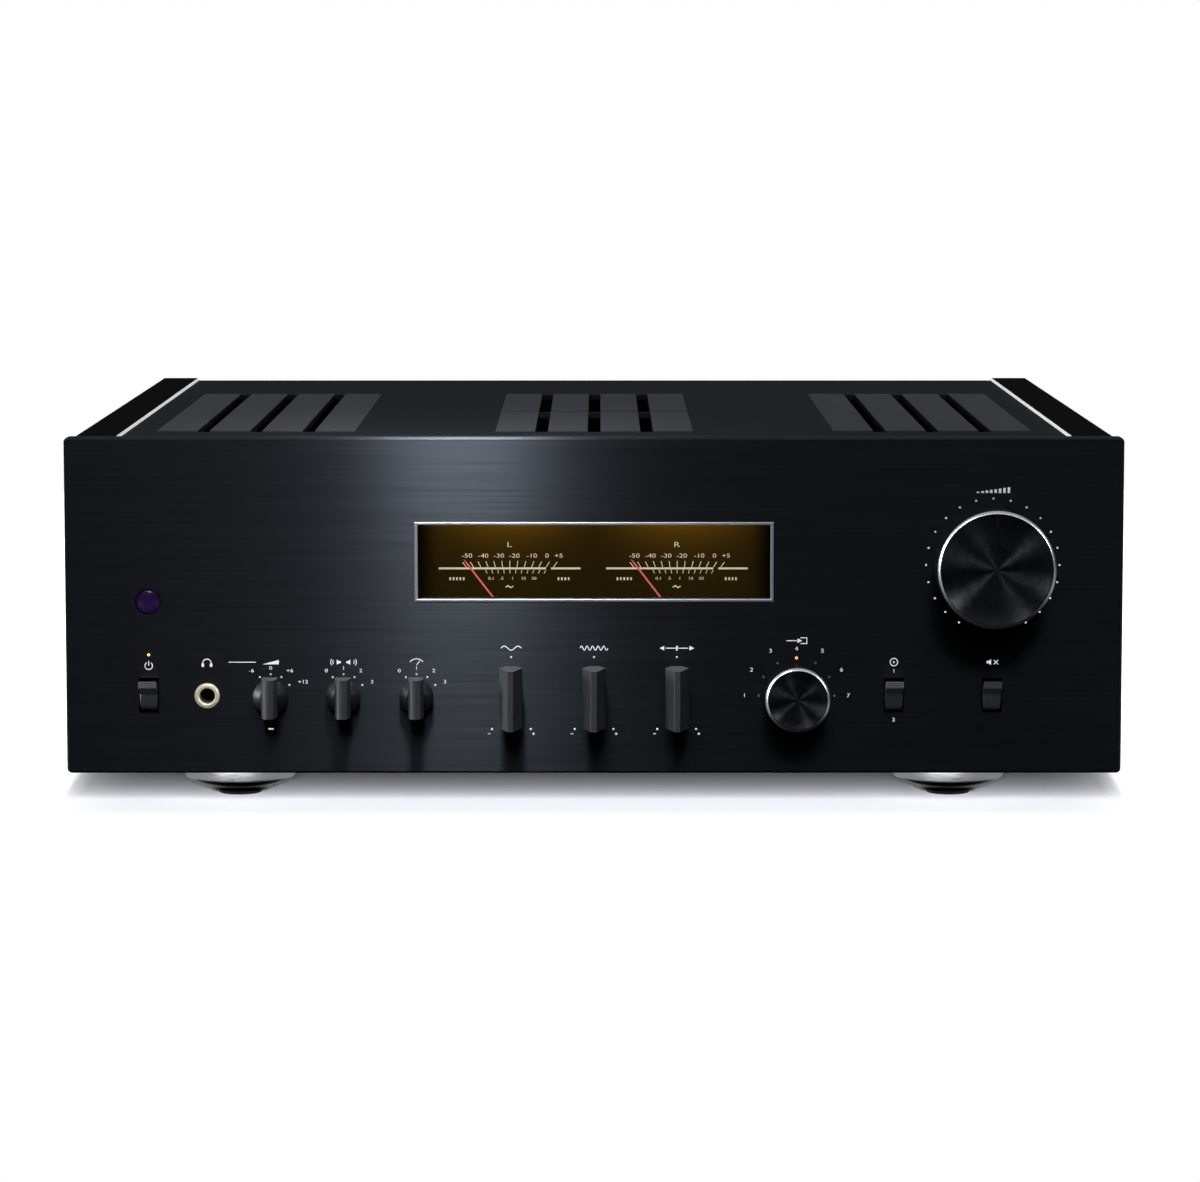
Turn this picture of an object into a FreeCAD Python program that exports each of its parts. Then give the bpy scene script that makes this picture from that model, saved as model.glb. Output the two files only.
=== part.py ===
import FreeCAD, Part
import math
import os

import Sketcher
from FreeCAD import Placement, Rotation, Vector

# An integrated stereo amplifier: a thick faceplate with rotary controls, three toggle levers, a pair of
# needle meters behind a window and a headphone socket; lacquered side panels; a slotted top cover; a rear
# panel with sockets and binding posts; and inside, a toroidal transformer, capacitors, heat sinks and boards.
# Millimetres. +X is to the right of someone facing the controls, +Y is towards the rear, +Z is up.
# The origin is on the surface that the feet stand on, in the middle of the overall width and depth.

doc = FreeCAD.newDocument("integrated_amplifier")
sheet = doc.addObject("Spreadsheet::Sheet", "dims")
cell_rows = []
nodes = {}


# ---------------------------------------------------------------- sizes

class Size:
    """A length that carries both its value and the spreadsheet formula that gives it."""

    def __init__(self, value, text):
        self.value = float(value)
        self.text = text

    def joined(self, other, sign, value):
        return Size(value, f"({self.text} {sign} {size(other).text})")

    def __add__(self, other):
        return self.joined(other, "+", self.value + size(other).value)

    def __radd__(self, other):
        return size(other) + self

    def __sub__(self, other):
        return self.joined(other, "-", self.value - size(other).value)

    def __rsub__(self, other):
        return size(other) - self

    def __mul__(self, other):
        return self.joined(other, "*", self.value * size(other).value)

    def __rmul__(self, other):
        return size(other) * self

    def __truediv__(self, other):
        return self.joined(other, "/", self.value / size(other).value)

    def __neg__(self):
        return size(0) - self


def size(number):
    """Any number as a Size."""
    return number if isinstance(number, Size) else Size(number, repr(float(number)))


def dim(alias, value):
    """Writes one driving dimension into the spreadsheet, and returns it as a Size."""
    cell_rows.append(alias)
    sheet.set(f"A{len(cell_rows)}", "'" + alias)
    sheet.set(f"B{len(cell_rows)}", str(value))
    sheet.setAlias(f"B{len(cell_rows)}", alias)
    return Size(value, f"dims.{alias}")


# The case.
overall_width = dim("overall_width", 435)
overall_height = dim("overall_height", 157)
overall_depth = dim("overall_depth", 463)
knob_reach = dim("knob_reach", 22)
terminal_reach = dim("terminal_reach", 26)
foot_height = dim("foot_height", 18.2)
panel_thick = dim("panel_thick", 8)
panel_corner = dim("panel_corner", 2)
panel_bevel = dim("panel_bevel", 0.8)
side_thick = dim("side_thick", 18.8)
side_inset = dim("side_inset", 2.2)
side_drop = dim("side_drop", 0.5)
side_bevel = dim("side_bevel", 1.3)
cover_drop = dim("cover_drop", 1.7)
cover_thick = dim("cover_thick", 2.5)
plate_thick = dim("plate_thick", 2)
frame_thick = dim("frame_thick", 1.6)
floor_slot_length = dim("floor_slot_length", 30)
floor_slot_width = dim("floor_slot_width", 5)
partition_gap = dim("partition_gap", 4)

# Clearances: a shaft in its bore, a piece in its opening, and two pieces that only come close.
running_fit = dim("running_fit", 0.05)
loose_fit = dim("loose_fit", 0.1)
close_gap = dim("close_gap", 0.3)
OVERLAP = 1
FLOOR_SLOTS = 7

# The slots of the top cover: columns of short slits with an open channel between each two columns.
vent_start = dim("vent_start", 56)
vent_length = dim("vent_length", 246)
vent_margin = dim("vent_margin", 12)
column_width = dim("column_width", 17)
column_pitch = dim("column_pitch", 22.2)
slit_pitch = dim("slit_pitch", 6)
slit_width = dim("slit_width", 2.4)
slit_margin = dim("slit_margin", 2)
vent_bridge = dim("vent_bridge", 4)

# Controls on the faceplate: distances from its ends and its lower edge.
row_rise = dim("row_rise", 32.2)
power_margin = dim("power_margin", 34.1)
jack_step = dim("jack_step", 24)
trim_step = dim("trim_step", 50.2)
selector_pitch = dim("selector_pitch", 30.05)
tone_pitch = dim("tone_pitch", 34.1)
volume_margin = dim("volume_margin", 53.6)
volume_rise = dim("volume_rise", 86.3)
input_step = dim("input_step", 80.5)
phono_step = dim("phono_step", 40.4)
sensor_rise = dim("sensor_rise", 71.2)
sensor_radius = dim("sensor_radius", 5.3)
lamp_rise = dim("lamp_rise", 49.1)
lamp_radius = dim("lamp_radius", 0.6)
input_lamp_circle = dim("input_lamp_circle", 15.6)

# Knobs and their shafts.
shaft_radius = dim("shaft_radius", 3)
bushing_radius = dim("bushing_radius", 4.5)
bushing_recess = dim("bushing_recess", 2)
shaft_depth = dim("shaft_depth", 10)
knob_gap = dim("knob_gap", 1)
volume_radius = dim("volume_radius", 24.2)
input_radius = dim("input_radius", 13.4)
input_reach = dim("input_reach", 16)
knob_wall = dim("knob_wall", 7)
knob_bevel = dim("knob_bevel", 1.5)
knob_band = dim("knob_band", 1.5)
face_dish = dim("face_dish", 0.5)
mark_width = dim("mark_width", 1)
mark_length = dim("mark_length", 8)
mark_depth = dim("mark_depth", 1)
skirt_radius = dim("skirt_radius", 7)
skirt_thick = dim("skirt_thick", 4)
pointer_length = dim("pointer_length", 16)
pointer_width = dim("pointer_width", 6.2)
pointer_reach = dim("pointer_reach", 15)
pointer_wall = dim("pointer_wall", 6)
pointer_slope = dim("pointer_slope", 4.6)
pointer_ridge = dim("pointer_ridge", 1.2)
dome_step = dim("dome_step", 3)
bar_length = dim("bar_length", 24.8)
bar_width = dim("bar_width", 9.5)
bar_neck = dim("bar_neck", 4.6)
bar_shoulder = dim("bar_shoulder", 8)
bar_reach = dim("bar_reach", 21)
bar_ridge = dim("bar_ridge", 0.8)
bar_wall = dim("bar_wall", 2)
bar_boss_wall = dim("bar_boss_wall", 1.6)
volume_case_radius = dim("volume_case_radius", 12)
tone_case_radius = dim("tone_case_radius", 8.5)
switch_case_radius = dim("switch_case_radius", 10)

# Toggle levers: a drum on a pin, with a paddle that stands up at rest.
slot_width = dim("slot_width", 8.2)
slot_height = dim("slot_height", 14.8)
lever_width = dim("lever_width", 7.2)
drum_radius = dim("drum_radius", 6.8)
pivot_depth = dim("pivot_depth", 5.5)
paddle_length = dim("paddle_length", 14.5)
paddle_thick = dim("paddle_thick", 4.2)
paddle_tip = dim("paddle_tip", 3)
pin_radius = dim("pin_radius", 1)
ear_thick = dim("ear_thick", 2)
switch_pocket = dim("switch_pocket", 5)
switch_block_width = dim("switch_block_width", 20)
switch_block_height = dim("switch_block_height", 22)
drum_clear = dim("drum_clear", 0.4)
ear_overlap = dim("ear_overlap", 4)
LEVER_TILT = 22

# Headphone socket, for a 6.35 mm plug.
plug_radius = dim("plug_radius", 3.25)
ring_radius = dim("ring_radius", 5.2)
ring_proud = dim("ring_proud", 1.2)
barrel_radius = dim("barrel_radius", 4.4)
jack_depth = dim("jack_depth", 16)
jack_block = dim("jack_block", 14)
jack_block_depth = dim("jack_block_depth", 22)
lens_recess = dim("lens_recess", 0.4)
lens_crown = dim("lens_crown", 1.2)

# The meter window and what is behind it.
window_width = dim("window_width", 147.5)
window_height = dim("window_height", 32.9)
window_rise = dim("window_rise", 87.5)
bezel_width = dim("bezel_width", 1.2)
bezel_depth = dim("bezel_depth", 1.6)
bezel_proud = dim("bezel_proud", 0.3)
glass_thick = dim("glass_thick", 2.5)
housing_wall = dim("housing_wall", 1.5)
housing_depth = dim("housing_depth", 16.5)
housing_above = dim("housing_above", 4)
housing_below = dim("housing_below", 22)
ledge_thick = dim("ledge_thick", 1)
lamp_length = dim("lamp_length", 5)
lamp_width = dim("lamp_width", 2.4)
lamp_thick = dim("lamp_thick", 1.6)
lamp_offset = dim("lamp_offset", 9)
dial_depth = dim("dial_depth", 5)
dial_thick = dim("dial_thick", 0.8)
dial_margin = dim("dial_margin", 2)
meter_spacing = dim("meter_spacing", 69.2)
needle_rise = dim("needle_rise", 62.7)
needle_length = dim("needle_length", 31.4)
needle_width = dim("needle_width", 0.7)
needle_thick = dim("needle_thick", 0.4)
needle_clear = dim("needle_clear", 2)
needle_point = dim("needle_point", 0.2)
needle_taper = dim("needle_taper", 2)
needle_tail = dim("needle_tail", 6)
weight_width = dim("weight_width", 2.4)
weight_length = dim("weight_length", 3)
hub_radius = dim("hub_radius", 2.4)
spindle_radius = dim("spindle_radius", 0.8)
spindle_reach = dim("spindle_reach", 5)
movement_gap = dim("movement_gap", 1)
movement_width = dim("movement_width", 24)
movement_height = dim("movement_height", 12)
NEEDLE_REST = 37.6

# Parts behind the subframe.
control_depth = dim("control_depth", 16)
board_thick = dim("board_thick", 1.6)
board_low = dim("board_low", 8)
board_high = dim("board_high", 55)
board_gap = dim("board_gap", 1)
standoff_length = dim("standoff_length", 10)
standoff_radius = dim("standoff_radius", 3)
standoff_inset = dim("standoff_inset", 6)

# Feet.
foot_spacing = dim("foot_spacing", 302.8)
foot_setback = dim("foot_setback", 70.5)
rear_foot_setback = dim("rear_foot_setback", 62)
foot_radius = dim("foot_radius", 23.5)
foot_rim = dim("foot_rim", 9)
foot_bevel = dim("foot_bevel", 0.8)
foot_neck_height = dim("foot_neck_height", 2.2)
foot_neck_inset = dim("foot_neck_inset", 3.5)
foot_base_radius = dim("foot_base_radius", 12.4)
pad_radius = dim("pad_radius", 9.2)
pad_thick = dim("pad_thick", 1.8)
bolt_radius = dim("bolt_radius", 3)
bolt_head_radius = dim("bolt_head_radius", 5)
bolt_head_height = dim("bolt_head_height", 4.5)
bolt_recess = dim("bolt_recess", 1.2)
bolt_overhang = dim("bolt_overhang", 6)

# Power supply and output stage.
toroid_radius = dim("toroid_radius", 68)
toroid_bore = dim("toroid_bore", 20)
toroid_height = dim("toroid_height", 66)
toroid_round = dim("toroid_round", 7)
toroid_setback = dim("toroid_setback", 132)
clamp_radius = dim("clamp_radius", 34)
supply_gap = dim("supply_gap", 8)
capacitor_radius = dim("capacitor_radius", 18.5)
capacitor_height = dim("capacitor_height", 72)
capacitor_pitch = dim("capacitor_pitch", 38.85)
capacitor_round = dim("capacitor_round", 1.5)
partition_offset = dim("partition_offset", 84)
sink_base = dim("sink_base", 8)
sink_offset = dim("sink_offset", 101)
fin_pitch = dim("fin_pitch", 12)
fin_thick = dim("fin_thick", 2.5)
sink_headroom = dim("sink_headroom", 14)
sink_side_gap = dim("sink_side_gap", 4)
transistor_thick = dim("transistor_thick", 5)
transistor_width = dim("transistor_width", 16)
transistor_height = dim("transistor_height", 20)
transistor_rise = dim("transistor_rise", 40)
amplifier_board_margin = dim("amplifier_board_margin", 8)

# Rear sockets and terminals.
socket_pitch = dim("socket_pitch", 22)
socket_margin = dim("socket_margin", 36)
socket_rise_low = dim("socket_rise_low", 93)
socket_rise_high = dim("socket_rise_high", 114)
phono_shell_radius = dim("phono_shell_radius", 4.15)
phono_bore_radius = dim("phono_bore_radius", 1.7)
phono_tail_radius = dim("phono_tail_radius", 3)
phono_neck_radius = dim("phono_neck_radius", 4.5)
phono_shell_length = dim("phono_shell_length", 9)
socket_flange = dim("socket_flange", 1.2)
socket_flange_radius = dim("socket_flange_radius", 6.2)
socket_block = dim("socket_block", 13.5)
socket_block_width = dim("socket_block_width", 12)
input_board_margin = dim("input_board_margin", 6)
balanced_gap = dim("balanced_gap", 48)
balanced_pitch = dim("balanced_pitch", 34)
balanced_radius = dim("balanced_radius", 11)
balanced_flange_width = dim("balanced_flange_width", 26)
balanced_flange_height = dim("balanced_flange_height", 31)
balanced_flange = dim("balanced_flange", 2)
balanced_wall = dim("balanced_wall", 1.2)
groove_width = dim("groove_width", 2.2)
groove_depth = dim("groove_depth", 10)
contact_circle = dim("contact_circle", 4)
contact_radius = dim("contact_radius", 1.3)
terminal_rise = dim("terminal_rise", 28)
terminal_pitch = dim("terminal_pitch", 32)
terminal_margin = dim("terminal_margin", 34)
terminal_gap = dim("terminal_gap", 74)
stud_recess = dim("stud_recess", 0.5)
stud_tail = dim("stud_tail", 20)
stud_nut_radius = dim("stud_nut_radius", 7)
stud_nut = dim("stud_nut", 3)
stud_radius = dim("stud_radius", 4)
banana_radius = dim("banana_radius", 2.1)
banana_depth = dim("banana_depth", 18)
cap_radius = dim("cap_radius", 9)
cap_waist = dim("cap_waist", 2)
cap_waist_length = dim("cap_waist_length", 4)
cap_bevel = dim("cap_bevel", 1)
insulator_radius = dim("insulator_radius", 12)
insulator_thick = dim("insulator_thick", 3)
insulator_bevel = dim("insulator_bevel", 1)
washer_radius = dim("washer_radius", 9)
washer_thick = dim("washer_thick", 2.5)
neck_radius = dim("neck_radius", 6.4)
ground_stud_radius = dim("ground_stud_radius", 2)
ground_nut_radius = dim("ground_nut_radius", 5.5)
ground_nut_length = dim("ground_nut_length", 7)
ground_nut_waist = dim("ground_nut_waist", 1.5)
ground_margin = dim("ground_margin", 15)
ground_overhang = dim("ground_overhang", 3)
ground_tail = dim("ground_tail", 8)
inlet_margin = dim("inlet_margin", 34)
inlet_cavity_width = dim("inlet_cavity_width", 24.2)
inlet_cavity_height = dim("inlet_cavity_height", 16.2)
inlet_cavity_depth = dim("inlet_cavity_depth", 17)
inlet_wall = dim("inlet_wall", 1.6)
inlet_flange = dim("inlet_flange", 2.5)
inlet_lip = dim("inlet_lip", 2)
blade_length = dim("blade_length", 11.5)
blade_thick = dim("blade_thick", 2)
blade_height = dim("blade_height", 4)
blade_pitch = dim("blade_pitch", 7)
blade_rise = dim("blade_rise", 4)

# Screws.
screw_radius = dim("screw_radius", 1.45)
screw_head_radius = dim("screw_head_radius", 2.8)
screw_head_height = dim("screw_head_height", 1.8)
screw_length = dim("screw_length", 6)
screw_margin = dim("screw_margin", 8)


# ---------------------------------------------------------------- places worked out from the sizes

half_width = overall_width / 2
front_y = knob_reach - overall_depth / 2
panel_back = front_y + panel_thick
subframe_back = panel_back + plate_thick
rear_y = overall_depth / 2 - terminal_reach
rear_inner = rear_y - plate_thick
base_top = foot_height + plate_thick
side_outer = half_width - side_inset
side_inner = side_outer - side_thick
cover_top = overall_height - cover_drop
cover_bottom = cover_top - cover_thick
frame_inner = side_inner - frame_thick

row_z = foot_height + row_rise
power_x = power_margin - half_width
jack_x = power_x + jack_step
trim_x = power_x + trim_step
speakers_x = trim_x + selector_pitch
meter_x = speakers_x + selector_pitch
volume_x = half_width - volume_margin
volume_z = foot_height + volume_rise
input_x = volume_x - input_step
phono_x = volume_x - phono_step
sensor_z = foot_height + sensor_rise
lamp_z = foot_height + lamp_rise
window_z = foot_height + window_rise
needle_z = foot_height + needle_rise
needle_y = panel_back + dial_depth - needle_clear - needle_thick
pivot_y = front_y + pivot_depth
shaft_end = subframe_back + shaft_depth
board_front = subframe_back + control_depth
input_board_front = rear_inner - socket_block - board_thick

housing_top = window_z + window_height / 2 + housing_above
housing_bottom = window_z - window_height / 2 - housing_below
housing_half = window_width / 2 + housing_wall

selectors = {"trim": trim_x, "speakers": speakers_x, "meter": meter_x}
tones = {"bass": -tone_pitch, "treble": size(0), "balance": tone_pitch}
toggles = {"power": power_x, "phono": phono_x, "mute": volume_x}
sides = {"left": -1, "right": 1}

input_lamps = []
for lamp_angle in (-90, -60, -30, 0, 30, 60, 90):
    lamp_turn = math.radians(lamp_angle)
    input_lamps.append((input_x + input_lamp_circle * math.sin(lamp_turn),
                        row_z + input_lamp_circle * math.cos(lamp_turn)))
lamp_places = [(power_x, lamp_z)] + input_lamps

shaft_places = [(volume_x, volume_z), (input_x, row_z)]
shaft_places += [(x, row_z) for x in selectors.values()]
shaft_places += [(x, row_z) for x in tones.values()]

foot_places = []
for foot_x in (-foot_spacing / 2, foot_spacing / 2):
    foot_places.append((foot_x, front_y + foot_setback))
    foot_places.append((foot_x, rear_y - rear_foot_setback))
toroid_y = front_y + toroid_setback

terminal_z = foot_height + terminal_rise
terminals = {}
left_first = side_inner - terminal_margin
right_first = left_first - terminal_pitch * 3 - terminal_gap
for channel, first in (("left", left_first), ("right", right_first)):
    for step, pole in enumerate(("a_plus", "a_minus", "b_plus", "b_minus")):
        terminals[f"{channel}_{pole}"] = first - terminal_pitch * step

socket_z_high = foot_height + socket_rise_high
socket_z_low = foot_height + socket_rise_low
phono_sockets = []
for column in range(8):
    column_x = side_inner - socket_margin - socket_pitch * column
    phono_sockets.append((column_x, socket_z_high))
    phono_sockets.append((column_x, socket_z_low))
balanced_z = (socket_z_high + socket_z_low) / 2
balanced_first = phono_sockets[-1][0] - balanced_gap
balanced_sockets = [(balanced_first - balanced_pitch * step, balanced_z) for step in range(4)]
ground_x = side_inner - ground_margin
inlet_x = inlet_margin - side_inner
inlet_z = terminal_z

rear_screws = []
for across in (-1, -0.34, 0.34, 1):
    for screw_z in (base_top + screw_margin, cover_bottom - screw_margin):
        rear_screws.append(((side_inner - screw_margin) * across, screw_z))
base_screws = []
floor_screw_ys = (panel_back + screw_margin * 2, (panel_back + rear_inner) / 2,
                  rear_inner - screw_margin * 2)
for across in (-1, 1):
    for screw_y in floor_screw_ys:
        base_screws.append(((side_inner - screw_margin) * across, screw_y))


# ---------------------------------------------------------------- building blocks

TURNS = {
    "x": Rotation(Vector(0, 1, 0), 90),
    "y": Rotation(Vector(1, 0, 0), -90),
    "z": Rotation(),
}


def bind(piece, **sizes):
    """Ties properties of a piece to formulas of the spreadsheet."""
    for name, value in sizes.items():
        piece.setExpression(name, size(value).text)


def put(piece, x, y, z, turn=None):
    """Places a piece, with its position tied to the spreadsheet."""
    if turn is not None:
        piece.Placement = Placement(Vector(), turn)
    for axis, value in zip("xyz", (x, y, z)):
        piece.setExpression(f"Placement.Base.{axis}", size(value).text)
    return piece


def box(name, x, y, z, length, width, height):
    """A block from its lowest corner and its sizes along X, Y and Z."""
    block = doc.addObject("Part::Box", name)
    bind(block, Length=length, Width=width, Height=height)
    return put(block, x, y, z)


def rod(name, axis, x, y, z, radius, length):
    """A cylinder that starts at a point and runs along +X, +Y or +Z."""
    bar = doc.addObject("Part::Cylinder", name)
    bind(bar, Radius=radius, Height=length)
    return put(bar, x, y, z, TURNS[axis])


def together(name, pieces):
    """Several pieces as one group of separate solids."""
    group = doc.addObject("Part::Compound", name)
    group.Links = pieces
    return group


def fused(name, *pieces):
    whole = doc.addObject("Part::MultiFuse", name)
    whole.Shapes = list(pieces)
    return whole


def cut(name, base, *tools):
    """The base with every tool taken out of it."""
    rest = doc.addObject("Part::Cut", name)
    rest.Base = base
    rest.Tool = tools[0] if len(tools) == 1 else together(name + "_tools", list(tools))
    return rest


def node(label, piece):
    """Marks a finished sub-part: its label is the name of its file."""
    piece.Label = label
    nodes[label] = piece
    return piece


def new_body(name, x=0, y=0, z=0, turn=None):
    return put(doc.addObject("PartDesign::Body", name), x, y, z, turn)


def new_sketch(body, role, offset=0):
    """A sketch on one of the body's own origin planes, moved along its normal by offset."""
    drawing = body.newObject("Sketcher::SketchObject", body.Name + "_sketch")
    planes = [plane for plane in body.Origin.OriginFeatures if plane.Role == role]
    drawing.AttachmentSupport = [(planes[0], "")]
    drawing.MapMode = "FlatFace"
    drawing.setExpression("AttachmentOffset.Base.z", size(offset).text)
    return drawing


def constrain(drawing, kind, *where, value):
    index = drawing.addConstraint(Sketcher.Constraint(kind, *where, value.value))
    drawing.setExpression(f"Constraints[{index}]", value.text)


def outline(drawing, points):
    """A closed outline of straight edges, with each corner tied to the spreadsheet."""
    corners = [(size(x), size(y)) for x, y in points]
    first = drawing.GeometryCount
    count = len(corners)
    for index, (x, y) in enumerate(corners):
        next_x, next_y = corners[(index + 1) % count]
        start = Vector(x.value, y.value, 0)
        end = Vector(next_x.value, next_y.value, 0)
        drawing.addGeometry(Part.LineSegment(start, end))
    for index, (x, y) in enumerate(corners):
        after = first + (index + 1) % count
        drawing.addConstraint(Sketcher.Constraint("Coincident", first + index, 2, after, 1))
        constrain(drawing, "DistanceX", -1, 1, first + index, 1, value=x)
        constrain(drawing, "DistanceY", -1, 1, first + index, 1, value=y)


def rectangle(drawing, x, y, width, height):
    """A rectangle about a centre."""
    left, right = x - size(width) / 2, x + size(width) / 2
    low, high = y - size(height) / 2, y + size(height) / 2
    outline(drawing, [(left, low), (right, low), (right, high), (left, high)])


def circle(drawing, x, y, radius):
    x, y, radius = size(x), size(y), size(radius)
    index = drawing.addGeometry(Part.Circle(Vector(x.value, y.value, 0), Vector(0, 0, 1), radius.value))
    constrain(drawing, "Radius", index, value=radius)
    constrain(drawing, "DistanceX", -1, 1, index, 3, value=x)
    constrain(drawing, "DistanceY", -1, 1, index, 3, value=y)


def pad(body, drawing, length, reverse=False):
    feature = body.newObject("PartDesign::Pad", body.Name + "_pad")
    feature.Profile = drawing
    bind(feature, Length=length)
    feature.Reversed = reverse
    doc.recompute()
    return feature


def pocket(body, drawing, depth=None, reverse=False):
    """Cuts a sketch into the body, right through unless a depth is given."""
    before = body.Shape.Volume
    feature = body.newObject("PartDesign::Pocket", body.Name + "_pocket")
    feature.Profile = drawing
    if depth is None:
        feature.Type = 1
    else:
        bind(feature, Length=depth)
    feature.Reversed = reverse
    doc.recompute()
    if not body.Shape.Volume < before:
        raise ValueError(f"{body.Name}: a pocket cut nothing")
    return feature


def revolve(body, drawing, axis):
    feature = body.newObject("PartDesign::Revolution", body.Name + "_turned")
    feature.Profile = drawing
    feature.ReferenceAxis = (drawing, [axis])
    feature.Angle = 360
    doc.recompute()
    return feature


def dress(body, kind, amount, chosen):
    """A Chamfer or Fillet on the edges of the body's tip that the chosen test picks."""
    tip = body.Tip
    names = [f"Edge{i + 1}" for i, edge in enumerate(tip.Shape.Edges) if chosen(edge)]
    feature = body.newObject(f"PartDesign::{kind}", f"{body.Name}_{kind.lower()}")
    feature.Base = (tip, names)
    bind(feature, **{"Size" if kind == "Chamfer" else "Radius": amount})
    doc.recompute()
    return feature


def turned(name, points, x, y, z, axis="y"):
    """A turned piece from its outline of (distance along the axis, radius), about Y or Z."""
    body = new_body(name, x, y, z)
    if axis == "y":
        drawing = new_sketch(body, "YZ_Plane")
        outline(drawing, points)
        revolve(body, drawing, "H_Axis")
    else:
        drawing = new_sketch(body, "XZ_Plane")
        outline(drawing, [(radius, along) for along, radius in points])
        revolve(body, drawing, "V_Axis")
    return body


def near(value, target):
    return abs(value - size(target).value) < 1e-4


def in_face(depth):
    """A test for edges that lie in the plane at one depth of the body."""
    return lambda edge: all(near(corner.Y, depth) for corner in edge.Vertexes)


# ---------------------------------------------------------------- case

def front_panel():
    """A thick aluminium plate, with its openings sawn through and switch pockets milled in its back."""
    body = new_body("front_panel", 0, panel_back, 0)
    plate = new_sketch(body, "XZ_Plane")
    rectangle(plate, 0, (foot_height + overall_height) / 2, overall_width, overall_height - foot_height)
    pad(body, plate, panel_thick)
    dress(body, "Fillet", panel_corner, lambda edge: len(edge.Vertexes) == 2
          and near(edge.Vertexes[0].X, edge.Vertexes[1].X) and near(edge.Vertexes[0].Z, edge.Vertexes[1].Z))
    dress(body, "Chamfer", panel_bevel, in_face(-panel_thick))
    windows = new_sketch(body, "XZ_Plane")
    rectangle(windows, 0, window_z, window_width + loose_fit * 2, window_height + loose_fit * 2)
    for x in toggles.values():
        rectangle(windows, x, row_z, slot_width, slot_height)
    pocket(body, windows, reverse=True)
    bores = new_sketch(body, "XZ_Plane")
    for x, z in shaft_places:
        circle(bores, x, z, bushing_radius + loose_fit)
    circle(bores, jack_x, row_z, barrel_radius + loose_fit)
    circle(bores, power_x, sensor_z, sensor_radius + loose_fit)
    for x, z in lamp_places:
        circle(bores, x, z, lamp_radius + loose_fit)
    pocket(body, bores, reverse=True)
    milled = new_sketch(body, "XZ_Plane")
    for x in toggles.values():
        rectangle(milled, x, row_z, switch_width() + loose_fit * 2, slot_height + ear_thick)
    pocket(body, milled, switch_pocket, reverse=True)
    node("front_panel", body)


def switch_width():
    """Over the two ears that carry a lever's pin."""
    return slot_width + loose_fit * 2 + ear_thick * 2


def front_subframe():
    """The steel plate behind the faceplate, which carries the controls."""
    body = new_body("front_subframe", 0, subframe_back, 0)
    plate = new_sketch(body, "XZ_Plane")
    rectangle(plate, 0, (base_top + cover_bottom) / 2, side_inner * 2, cover_bottom - base_top)
    pad(body, plate, plate_thick)
    windows = new_sketch(body, "XZ_Plane")
    rectangle(windows, 0, (housing_top + housing_bottom) / 2,
              housing_half * 2 + loose_fit * 2, housing_top - housing_bottom + loose_fit * 2)
    for x in toggles.values():
        rectangle(windows, x, row_z, switch_width() + loose_fit * 2, slot_height + ear_thick)
    pocket(body, windows, reverse=True)
    bores = new_sketch(body, "XZ_Plane")
    for x, z in shaft_places:
        circle(bores, x, z, bushing_radius + loose_fit)
    circle(bores, jack_x, row_z, barrel_radius + loose_fit)
    circle(bores, power_x, sensor_z, sensor_radius + loose_fit)
    for x, z in lamp_places:
        circle(bores, x, z, lamp_radius + loose_fit)
    pocket(body, bores, reverse=True)
    node("front_subframe", body)


def side_panels():
    """Lacquered wooden sides, bevelled along both upper edges."""
    for name, sign in sides.items():
        body = new_body(f"side_panel_{name}", 0, rear_y, 0)
        section = new_sketch(body, "XZ_Plane")
        inner, outer = side_inner * sign, side_outer * sign
        top = overall_height - side_drop
        outline(section, [(inner, foot_height), (outer, foot_height),
                          (outer, top - side_bevel), (outer - side_bevel * sign, top),
                          (inner + side_bevel * sign, top), (inner, top - side_bevel)])
        pad(body, section, rear_y - panel_back)
        node(f"side_panel_{name}", body)


def column_centres():
    """The X of each column of slits, by group."""
    outermost = side_inner - vent_margin - column_width / 2
    right = [outermost - column_pitch * step for step in range(4)]
    middle = [column_pitch * (step - 1.5) for step in range(4)]
    return {"left": [-x for x in right], "middle": middle, "right": right}


def top_cover():
    """A sheet with columns of slits over the heat sinks and the transformer, and open channels between."""
    sheet_metal = box("cover_sheet", -side_inner, panel_back, cover_bottom,
                      side_inner * 2, rear_y - panel_back, cover_thick)
    start = (front_y + vent_start).value
    length = vent_length.value
    low = cover_bottom.value - OVERLAP
    tall = cover_thick.value + OVERLAP * 2
    slit_length = column_width.value - 2 * slit_margin.value
    channel = column_pitch.value - column_width.value
    openings = []
    for group, centres in column_centres().items():
        xs = sorted(centre.value for centre in centres)
        spans = [(start, start + length)]
        if group == "middle":
            middle, half_bridge = start + length / 2, vent_bridge.value / 2
            spans = [(start, middle - half_bridge), (middle + half_bridge, start + length)]
        for begin, end in spans:
            count = int((end - begin - slit_margin.value) / slit_pitch.value)
            first = (begin + end - count * slit_pitch.value) / 2
            for x in xs:
                for index in range(count):
                    y = first + (index + 0.5) * slit_pitch.value - slit_width.value / 2
                    corner = Vector(x - slit_length / 2, y, low)
                    openings.append(Part.makeBox(slit_length, slit_width.value, tall, corner))
            for x in xs[:-1]:
                corner = Vector(x + column_width.value / 2, begin, low)
                openings.append(Part.makeBox(channel, end - begin, tall, corner))
    slits = doc.addObject("Part::Feature", "cover_slits")
    slits.Shape = Part.makeCompound(openings)
    node("top_cover", cut("top_cover", sheet_metal, slits))


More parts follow.
